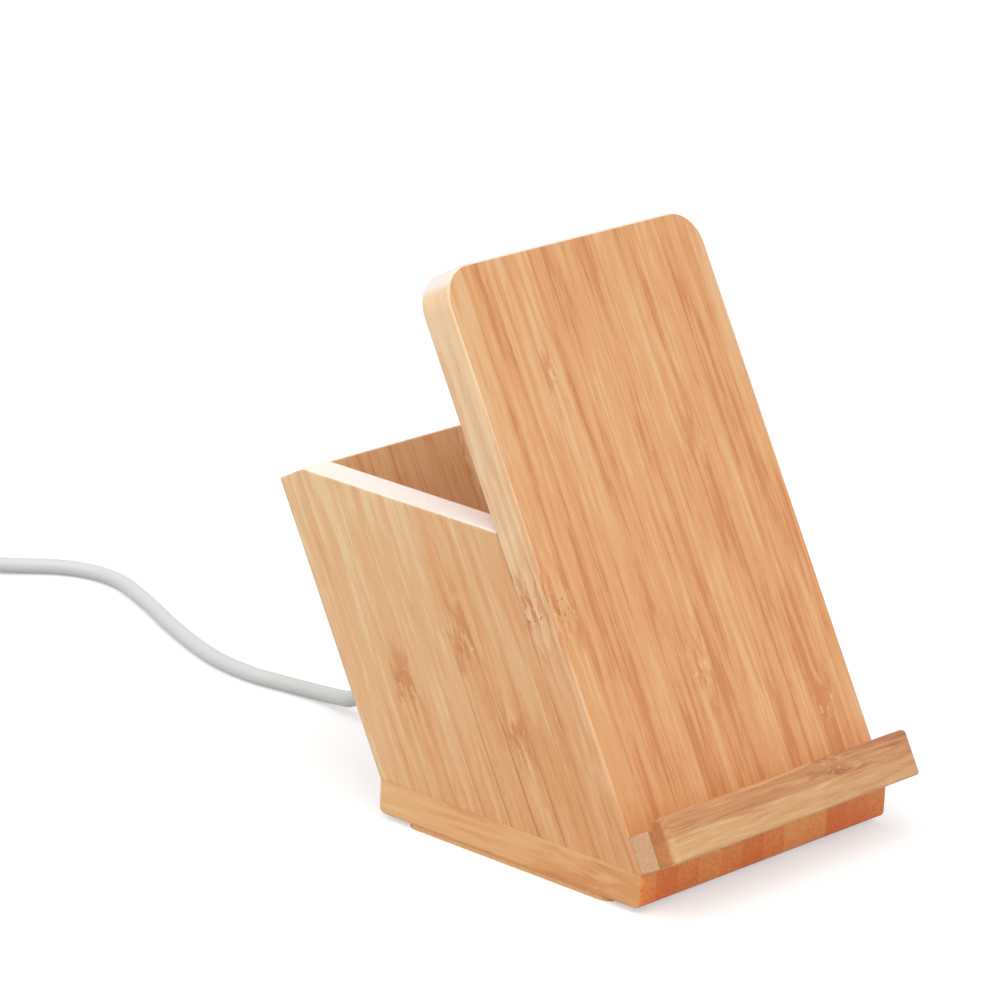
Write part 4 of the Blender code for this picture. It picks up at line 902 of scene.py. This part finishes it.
lip_front, lip_back = -PLANK - SOLID_GAP - LIP_THICK, -PLANK - GLUE_LINE
lip_foot = -PLANK - SOLID_GAP - LIP_STEP
lip_ridge = lip_foot - LIP_SLOPE
right_half = [(HALF, depth) for depth in (lip_front, lip_ridge, lip_foot, lip_back)]
left_half = [(-HALF, depth) for depth in (lip_back, lip_foot, lip_ridge)]
lip_outline = rounded([(-HALF, lip_front)] + right_half + left_half, [LIP_CORNER] * 2 + [0] * 6)
lip = between_rings(
    "ledge_rail", [leaning(p.x, p.y, 0) for p in lip_outline],
    [leaning(p.x, p.y, PLANK_RISE if p.y > lip_ridge + NEAR else LIP_RISE) for p in lip_outline],
)
with reshaping(lip) as bm:
    for crease in (lip_ridge, lip_foot):
        places = [(vertex, *in_lean(vertex.co)) for vertex in bm.verts]
        ends = [v for v, depth, place in places if abs(depth - crease) < NEAR and place > LIP_RISE / 2]
        bmesh.ops.connect_verts(bm, verts=ends)
    bmesh.ops.recalc_face_normals(bm, faces=bm.faces)


def lip_edges(middle, direction):
    """Well rounded along the top and the ridge of the slope, eased at the foot, sharp at the glue."""
    depth, place = in_lean(middle)
    if depth > lip_back - NEAR:
        return 0
    if place < LIP_RISE / 2:
        return SANDED
    if abs(depth - lip_ridge) < NEAR:
        return LIP_RIDGE
    return 0 if depth > lip_ridge else LIP_TOP


round_over(lip, lip_edges, 5)
dress(lip, ledge_side, "bamboo_ledge", "stand", "ledge_lip")
print("lip has", len(lip.data.polygons), "faces")

# %% [markdown]
# ## White plastics and the cork sheet
#
# PVC cord and moulded plugs are white, satin and slightly soft at the edges of light. The moulded parts get
# the fine grain of a spark-eroded mould, and the cord a faint waviness along it. A plain grey-white colour
# would do from afar, but near by the grain is what tells plastic from paint. The sheet under the base is
# pressed cork and rubber, cut with a knife, so its edge shows the cut granules.

# %% Finishes of plastics and cork
GRANULE = 0.45   # millimetres across a granule of cork


def moulded_plastic(name, light, dark, grain, roughness, depth):
    """PVC, TPE or resin in one colour, with a fine even grain from the mould or the die, in millimetres."""
    finish, tree, where = new_finish(name)
    fine = add(tree, "TexNoise", {"Vector": where["Object"], "Scale": 1000 / grain, "Detail": 2.0})
    broad = add(tree, "TexNoise", {"Vector": where["Object"], "Scale": 60.0, "Detail": 1.0})
    tint = add(tree, "Mix RGBA", {0: broad, 6: light, 7: dark})
    gloss = add(tree, "MapRange", [fine, 0.0, 1.0, roughness - 0.08, roughness + 0.08])
    end_finish(tree, tint, gloss, fine, 0.4, depth, {"IOR": 1.5})
    return finish


def cork_rubber(name):
    """Cork and rubber sheet, cut from a block: pressed granules of several browns, in a pale tint that is
    partly painted light against the shade under the base.
    """
    finish, tree, where = new_finish(name)
    granules = add(tree, "TexVoronoi", {"Vector": where["Object"], "Scale": 1000 / GRANULE})
    shares = add(tree, "SeparateColor", [granules.outputs["Color"]])
    # Partly painted light: these tints are the sheet's woody colour, made paler to brighten it in the shade
    # under the base.
    tint = add(tree, "Mix RGBA", {0: shares, 6: "EFBB84", 7: "EAB37A"})
    seams = add(tree, "MapRange", [granules, 0.35, 0.75])
    tint = add(tree, "Mix RGBA", {0: seams, 6: tint, 7: "E5AC74"})
    end_finish(tree, tint, 0.85, seams, 0.4, 0.00004, {"IOR": 1.45}, invert=True)
    return finish


cable_pvc = moulded_plastic("extruded_white_pvc", "D4D6D5", "CCCECD", 1.2, 0.42, 0.00002)
plug_tpe = moulded_plastic("moulded_white_tpe", "E4E5E3", "DCDDDB", 0.35, 0.40, 0.00001)
cable_cord.data.materials.append(cable_pvc)
dress(mat, cork_rubber("pressed_cork_sheet"), "cork", "stand", "foot_mat")
print("finishes so far:", len(bpy.data.materials))

# %% [markdown]
# ## Metals, board and strap
#
# Inside the block and at the cable's ends sit parts that are stamped, wound, pressed or soldered. Their CAD
# shapes are right as they are, so they only get their finishes: drawn and nickel-plated steel with faint
# lines along the pull, lacquered copper wire, pressed ferrite, a lacquered circuit board, and a hook-and-loop
# strap.

# %% Finishes of the metals, the board and the strap
NYLON_LOOP, GLASS_WEAVE = 0.25, 0.5   # millimetres across a loop of the strap, and a thread of the board


def drawn_metal(name, light, dark, roughness, stretch, coat=0.0):
    """Metal that was drawn through a die, bare, plated or lacquered: fine lines, stretched this far each way
    in millimetres."""
    finish, tree, where = new_finish(name)
    lines = add(tree, "Mapping", {"Vector": where["Object"], "Scale": [1000 / s for s in stretch]})
    lines = add(tree, "TexNoise", {"Vector": lines, "Scale": 1.0, "Detail": 3.0})
    tint = add(tree, "Mix RGBA", {0: lines, 6: light, 7: dark})
    gloss = add(tree, "MapRange", [lines, 0.0, 1.0, roughness - 0.08, roughness + 0.10])
    end_finish(tree, tint, gloss, lines, 0.25, 0.00001, {"Metallic": 1.0, "Coat Weight": coat})
    return finish


def looped_nylon(name):
    """Hook-and-loop strap: a mat of fine nylon loops."""
    finish, tree, where = new_finish(name)
    loops = add(tree, "TexVoronoi", {"Vector": where["Object"], "Scale": 1000 / NYLON_LOOP})
    tint = add(tree, "Mix RGBA", {0: loops, 6: "DADBD9", 7: "B4B6B4"})
    end_finish(tree, tint, 0.85, loops, 0.7, 0.00008, {"Sheen Weight": 0.25}, invert=True)
    return finish


def lacquered_board(name):
    """Glass-epoxy board under green solder lacquer, with the copper tracks showing as a paler pattern."""
    finish, tree, where = new_finish(name)
    tracks = add(tree, "TexBrick", {
        "Vector": where["Object"], "Color1": "2E6B45", "Color2": "2A6340", "Mortar": "4A8A5E", "Scale": 180.0,
        "Mortar Size": 0.05, "Mortar Smooth": 0.4,
    })
    weave = add(tree, "TexNoise", {"Vector": where["Object"], "Scale": 1000 / GLASS_WEAVE, "Detail": 2.0})
    gloss = add(tree, "MapRange", [weave, 0.0, 1.0, 0.25, 0.40])
    end_finish(tree, tracks, gloss, tracks.outputs["Fac"], 0.3, 0.00003, {"Coat Weight": 0.4})
    return finish


nickel_steel = drawn_metal("nickel_plated_steel", "C9CBCE", "B4B6BA", 0.28, (0.08, 4.0, 0.08))
copper_wire = drawn_metal("lacquered_copper_wire", "C8784C", "B5653C", 0.32, (0.5, 0.5, 0.5), coat=0.6)
pressed_ferrite = moulded_plastic("pressed_ferrite_sheet", "3A3B3D", "2E2F31", 0.2, 0.60, 0.00001)
chip_resin = moulded_plastic("black_epoxy_resin", "26272A", "1D1E20", 0.15, 0.50, 0.000006)
white_resin = moulded_plastic("white_socket_resin", "E9E9E6", "DFDFDB", 0.3, 0.45, 0.000006)
fired_ceramic = moulded_plastic("fired_barium_ceramic", "B99F7E", "A88C6A", 0.25, 0.45, 0.000008)
lead_pvc = moulded_plastic("thin_black_lead_pvc", "2F2F31", "27272A", 0.5, 0.50, 0.00001)
strap_nylon = looped_nylon("looped_nylon_strap")
board_lacquer = lacquered_board("green_lacquered_circuit_board")
node_finishes = {
    "pocket_cover": rear_side, "well_floor": floor_side, "charging_coil": copper_wire,
    "ferrite_sheet": pressed_ferrite, "coil_lead": lead_pvc, "circuit_board": board_lacquer,
    "controller_chip": chip_resin, "power_chip": chip_resin, "capacitor_a": fired_ceramic,
    "capacitor_b": fired_ceramic, "capacitor_c": fired_ceramic, "usb_socket_shell": nickel_steel,
    "usb_socket_tongue": chip_resin, "cable_plug_shell": nickel_steel, "usb_a_tongue": white_resin,
}
for name, finish in node_finishes.items():
    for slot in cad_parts[name].material_slots:
        slot.material = finish
print("CAD nodes that keep their shape:", len(node_finishes))

# %% [markdown]
# ## Sleeves, grips and strap by a rule
#
# Three things on the cable repeat or follow a path, so each is grown from a rule. The strain relief is a
# sleeve that runs along a path, thins evenly and has grooves at equal steps, so that it bends. The plug's
# grip has a row of equal ridges above and below. The strap runs round the stored turns and back over itself,
# with cross ribs from the weaving. They could be modelled by hand, ring by ring, but a rule keeps the steps
# equal and needs only a few numbers, and both ends of the cable share it.

# %% Helpers for rules
def new_rule(name, **kinds):
    """A node tree for pieces that follow a rule, with named inputs, and the outputs to link from."""
    tree = bpy.data.node_groups.new(name, "GeometryNodeTree")
    for label, kind in {"Geometry": "Geometry", **kinds}.items():
        tree.interface.new_socket(label, in_out="INPUT", socket_type="NodeSocket" + kind)
    tree.interface.new_socket("Geometry", in_out="OUTPUT", socket_type="NodeSocketGeometry")
    return tree, add(tree, "NodeGroupInput").outputs


def end_rule(tree, shape, finish):
    """Ends a rule with real geometry in its finish."""
    shape = chain(tree, shape, ("GeometryNodeRealizeInstances",), ("GeometryNodeSetShadeSmooth",))
    add(tree, "NodeGroupOutput", [add(tree, "GeometryNodeSetMaterial", {0: shape, 2: finish})])


def grow(piece, tree, place, **values):
    """Runs a rule on a piece with these values for its inputs, and moves the result to its place."""
    growth = piece.modifiers.new(tree.name, "NODES")
    growth.node_group = tree
    for item in tree.interface.items_tree:
        if item.in_out == "INPUT" and item.name in values:
            growth[item.identifier] = values[item.name]
    piece.update_tag()
    settle(piece)
    piece.data.set_sharp_from_angle(angle=radians(40))
    piece.data.transform(place)
    print(piece.name, "grew to", len(piece.data.polygons), "faces")


def paths(name, *runs):
    """An object with only lines: each run is a list of points and whether it closes."""
    points, edges = [], []
    for run, closes in runs:
        first = len(points)
        points += run
        edges += [(first + spot, first + spot + 1) for spot in range(len(run) - 1)]
        edges += [(len(points) - 1, first)] if closes else []
    mesh = bpy.data.meshes.new(name)
    mesh.from_pydata(points, edges, [])
    return put(name, mesh)


PLUG_START = 0.01727   # where the near plug's grip begins, along Y
plug_place = Matrix.Translation((0, PLUG_START, PLUG_AXIS))
store_place = Matrix.Translation(STORE_CENTRE) @ Matrix.Rotation(STORE_TURN, 4, "Z")
print("the near plug starts", round(PLUG_START * 1000, 2), "mm behind the block's middle")

# %% [markdown]
# ## Strain reliefs
#
# Where the cord meets a plug, a soft sleeve keeps it from kinking. It is moulded over the cord and has
# grooves all round, so that it bends evenly. It could be a lathe shape, but the one at the far plug follows a
# bend, so both are swept along a path, and a cosine along the path cuts the grooves.

# %% Grooved strain reliefs
NEAR_GRIP, FAR_GRIP = (0.0108, 0.0058, 0.0180), (0.0154, 0.0076, 0.0240)   # width, height and length
NEAR_RELIEF, FAR_RELIEF = 0.0078, 0.0160                                   # lengths of the sleeves
FAR_GRIP_RISE = 0.00385                                                    # height of its middle line
BEND_STEPS = 12

sleeve, given = new_rule(
    "grooved_sleeve", Start_diameter="Float", End_diameter="Float", Grooves="Float", Groove_depth="Float",
    Finish="Material",
)
path = add(sleeve, "GeometryNodeMeshToCurve", [given["Geometry"]])
path = add(sleeve, "GeometryNodeResampleCurve", {0: path, 2: 97})
along = add(sleeve, "GeometryNodeSplineParameter")
groove = chain(
    sleeve, along, ("Math MULTIPLY", given["Grooves"]), ("Math MULTIPLY", 2 * pi), ("Math COSINE",),
    ("MapRange SMOOTHSTEP", -0.9, 0.1, 1.0, 0.0), ("Math MULTIPLY", given["Groove_depth"]),
)
width = add(sleeve, "Mix FLOAT", {0: along, 2: given["Start_diameter"], 3: given["End_diameter"]})
width = chain(sleeve, width, ("Math MULTIPLY", 0.5), ("Math SUBTRACT", groove))
circle = add(sleeve, "GeometryNodeCurvePrimitiveCircle", {0: 32, 4: 1.0})
end_rule(sleeve, add(sleeve, "GeometryNodeCurveToMesh", [path, circle, width, True]), given["Finish"])

sleeve_end = NEAR_GRIP[2] + SOLID_GAP + NEAR_RELIEF
near_relief = paths("near_strain_relief", ([(0, NEAR_GRIP[2], 0), (0, sleeve_end, 0)], False))
grow(
    near_relief, sleeve, plug_place, Start_diameter=0.0050, End_diameter=0.0040, Grooves=4.0,
    Groove_depth=0.0003, Finish=plug_tpe,
)
bend = []
for step in range(BEND_STEPS + 1):
    share = step / BEND_STEPS
    along_bend = STORE_TAIL + SOLID_GAP + (FAR_RELIEF + SOLID_GAP) * share
    bend.append((STORE_RADIUS, along_bend, STORE_LOWER + (FAR_GRIP_RISE - STORE_LOWER) * eased(share)))
far_relief = paths("far_strain_relief", (bend, False))
grow(
    far_relief, sleeve, store_place, Start_diameter=0.0039, End_diameter=0.0058, Grooves=7.0,
    Groove_depth=0.0004, Finish=plug_tpe,
)

# %% [markdown]
# ## Grips
#
# A grip is the moulded block that the fingers hold, with a row of low bars above and below. The bars could be
# bumps in the material, but they catch the light at the edge, so they are real. One bar is swept along a
# short line, thinner towards its ends, and set at equal steps along a line of points. The far grip is slimmer
# at the cable's end, so its bars climb a little from step to step.

# %% Grips with finger ridges
FAR_SLIM = 0.0024   # how much slimmer the far grip is at the cable's end

ridges, given = new_rule(
    "finger_ridges", Count="Int", Spacing="Float", Length="Float", Radius="Float", Start="Vector",
    Rise="Float", Finish="Material",
)
tips = [chain(ridges, given["Length"], ("Math MULTIPLY", side), ("CombineXYZ",)) for side in (-0.5, 0.5)]
bar = add(ridges, "GeometryNodeCurvePrimitiveLine", tips)
bar = add(ridges, "GeometryNodeResampleCurve", {0: bar, 2: 17})
taper = chain(
    ridges, add(ridges, "GeometryNodeSplineParameter"), ("Math MULTIPLY", pi), ("Math SINE",),
    ("Math POWER", 0.3), ("Math MAXIMUM", 0.3), ("Math MULTIPLY", given["Radius"]),
)
circle = add(ridges, "GeometryNodeCurvePrimitiveCircle", {0: 12, 4: 1.0})
bar = add(ridges, "GeometryNodeCurveToMesh", [bar, circle, taper, True])
step = add(ridges, "CombineXYZ", {1: given["Spacing"], 2: given["Rise"]})
row = add(ridges, "GeometryNodeMeshLine", {0: given["Count"], 2: given["Start"], 3: step})
below = add(ridges, "GeometryNodeTransform", {0: row, 3: (1, 1, -1)})
rows = add(ridges, "GeometryNodeJoinGeometry", [row])
ridges.links.new(below.outputs[0], rows.inputs[0])
bars = add(ridges, "GeometryNodeInstanceOnPoints", {0: rows, 2: bar})
whole = add(ridges, "GeometryNodeJoinGeometry", [given["Geometry"]])
ridges.links.new(bars.outputs[0], whole.inputs[0])
end_rule(ridges, whole, given["Finish"])


def block_along_y(name, start, end, sizes, corner, ease, slim=(1.0, 1.0)):
    """Rounded block between two places along Y. slim is its width and height at the start, as shares."""
    half_x, half_z = sizes[0] / 2, sizes[1] / 2
    outline = rounded(oblong(-half_x, -half_z, half_x, half_z), [corner] * 4)
    piece = between_rings(
        name, [(p.x * slim[0], start, p.y * slim[1]) for p in outline], [(p.x, end, p.y) for p in outline]
    )
    if ease:
        round_over(piece, lambda middle, direction: ease)
    return piece


near_grip = block_along_y("near_plug_grip", 0, NEAR_GRIP[2], NEAR_GRIP[:2], 0.0022, 0.0009)
grow(
    near_grip, ridges, plug_place, Count=6, Spacing=0.0012, Length=0.0066, Radius=0.0003,
    Start=(0, 0.0085, 0.00278), Rise=0.0, Finish=plug_tpe,
)
far_grip_start = STORE_TAIL + 2 * SOLID_GAP + FAR_RELIEF
far_plug_place = store_place @ Matrix.Translation((STORE_RADIUS, far_grip_start, FAR_GRIP_RISE))
slim = [1 - FAR_SLIM / size for size in FAR_GRIP[:2]]
far_grip = block_along_y("far_plug_grip", 0, FAR_GRIP[2], FAR_GRIP[:2], 0.0018, 0.0010, slim)
grow(
    far_grip, ridges, far_plug_place, Count=7, Spacing=0.0014, Length=0.0090, Radius=0.0004,
    Start=(0, 0.0045, 0.00268), Rise=0.00007, Finish=plug_tpe,
)

# %% [markdown]
# ## The steel shell of the far plug
#
# The shell is a strip of nickel-plated steel, 0.4 mm thick, that is bent to a flat tube. Windows are punched
# through both of its wide sides, where the springs of a socket catch. A picture of holes would look painted
# from the side, so the tube is hollowed and the windows are cut through.

# %% Steel shell of the far plug
SHELL, SHEET = (0.0120, 0.0045, 0.0120), 0.0004
SHELL_ROOT = 0.0008                                          # the tube is closed this far at the grip
WINDOW_ASIDE, WINDOW_PLACE, WINDOW_HALF = 0.0025, 0.0058, 0.0011

far_shell = block_along_y("far_plug_shell", 0, SHELL[2], SHELL[:2], 0.0006, 0)
hollow_sizes = [size - 2 * SHEET for size in SHELL[:2]]
carve(far_shell, block_along_y("hollow_tool", SHELL_ROOT, SHELL[2] + 0.001, hollow_sizes, 0.0003, 0))
square = oblong(-WINDOW_HALF, -WINDOW_HALF, WINDOW_HALF, WINDOW_HALF)
for x in (-WINDOW_ASIDE, WINDOW_ASIDE):
    carve(far_shell, sweep(
        "window_tool", square, lambda p, z: (x + p[0], WINDOW_PLACE + p[1], z), -OVERCUT, OVERCUT
    ))
far_shell.data.transform(far_plug_place @ Matrix.Translation((0, FAR_GRIP[2] + SOLID_GAP, 0)))
print("far shell has", len(far_shell.data.polygons), "faces")

# %% [markdown]
# ## The strap
#
# The stored turns are held by a strap of hook and loop, which is pulled round them and pressed back on
# itself. It could be a flat ring, but it has to follow the turns and lie double for a stretch, so it is swept
# along two lines: the loop and the end that lies on it. Each second step is a little narrower, as a woven
# edge is.

# %% Strap round the stored turns
TIE_GAP, TIE_THICK, TIE_WIDTH, TIE_CORNER = 0.0003, 0.0007, 0.0050, 0.0016
FLAP_FROM, FLAP_STEP, FLAP_COUNT = 0.0030, 0.0011, 8

woven, given = new_rule("woven_strap", Width="Float", Thickness="Float", Rib_step="Float", Finish="Material")
path = add(woven, "GeometryNodeMeshToCurve", [given["Geometry"]])
path = add(woven, "GeometryNodeResampleCurve", {0: path, 3: given["Rib_step"]}, mode="LENGTH")
section = add(woven, "GeometryNodeCurvePrimitiveQuadrilateral", [given["Width"], given["Thickness"]])
section = add(woven, "GeometryNodeFilletCurve", [section, 3, 0.0002], mode="POLY")
index = add(woven, "GeometryNodeInputIndex")
ribbed = chain(woven, index, ("Math MODULO", 2.0), ("MapRange", 0.0, 1.0, 0.985, 1.0))
end_rule(woven, add(woven, "GeometryNodeCurveToMesh", [path, section, ribbed, True]), given["Finish"])

hub = STORE_RADIUS - STORE_PITCH * STORE_TURNS
off_cord = CABLE_DIAMETER / 2 + TIE_GAP + TIE_THICK / 2
loop_in, loop_high = off_cord - hub + TIE_GAP, STORE_UPPER + off_cord
loop_corners = oblong(-STORE_RADIUS - off_cord, STORE_LOWER - off_cord, loop_in, loop_high)
loop = rounded(loop_corners, [TIE_CORNER] * 4, 6)
flap = [(loop_in - FLAP_FROM - FLAP_STEP * step, 0, loop_high + TIE_THICK) for step in range(FLAP_COUNT)]
strap = paths("cable_strap", ([(p.x, 0, p.y) for p in loop], True), (flap, False))
grow(strap, woven, store_place, Width=TIE_WIDTH, Thickness=TIE_THICK, Rib_step=0.0004, Finish=strap_nylon)
print("strap spans", [round(size * 1000, 2) for size in strap.dimensions], "mm")

# %% [markdown]
# ## Hand the pieces to the cable
#
# The plug can be pulled out, and then everything on the cable moves with it. So each piece is given to the
# cable's body and told which CAD nodes it stands for, which are then hidden. The cord goes to the same body,
# with the length and thickness it was drawn with.

# %% Put the plugs, the strap and the cord on the cable's body
for piece, node in (
    (near_relief, "cable_plug_relief"), (near_grip, "cable_plug_grip"), (far_relief, "usb_a_relief"),
    (far_grip, "usb_a_grip"),
):
    dress(piece, plug_tpe, "plug_moulding", "cable", node)
dress(far_shell, nickel_steel, "plug_steel", "cable", "usb_a_shell")
dress(strap, strap_nylon, "tie_strap", "cable", "cable_tie")
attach(cable_cord, "cable")
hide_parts("cable_lead", "cable_coil")
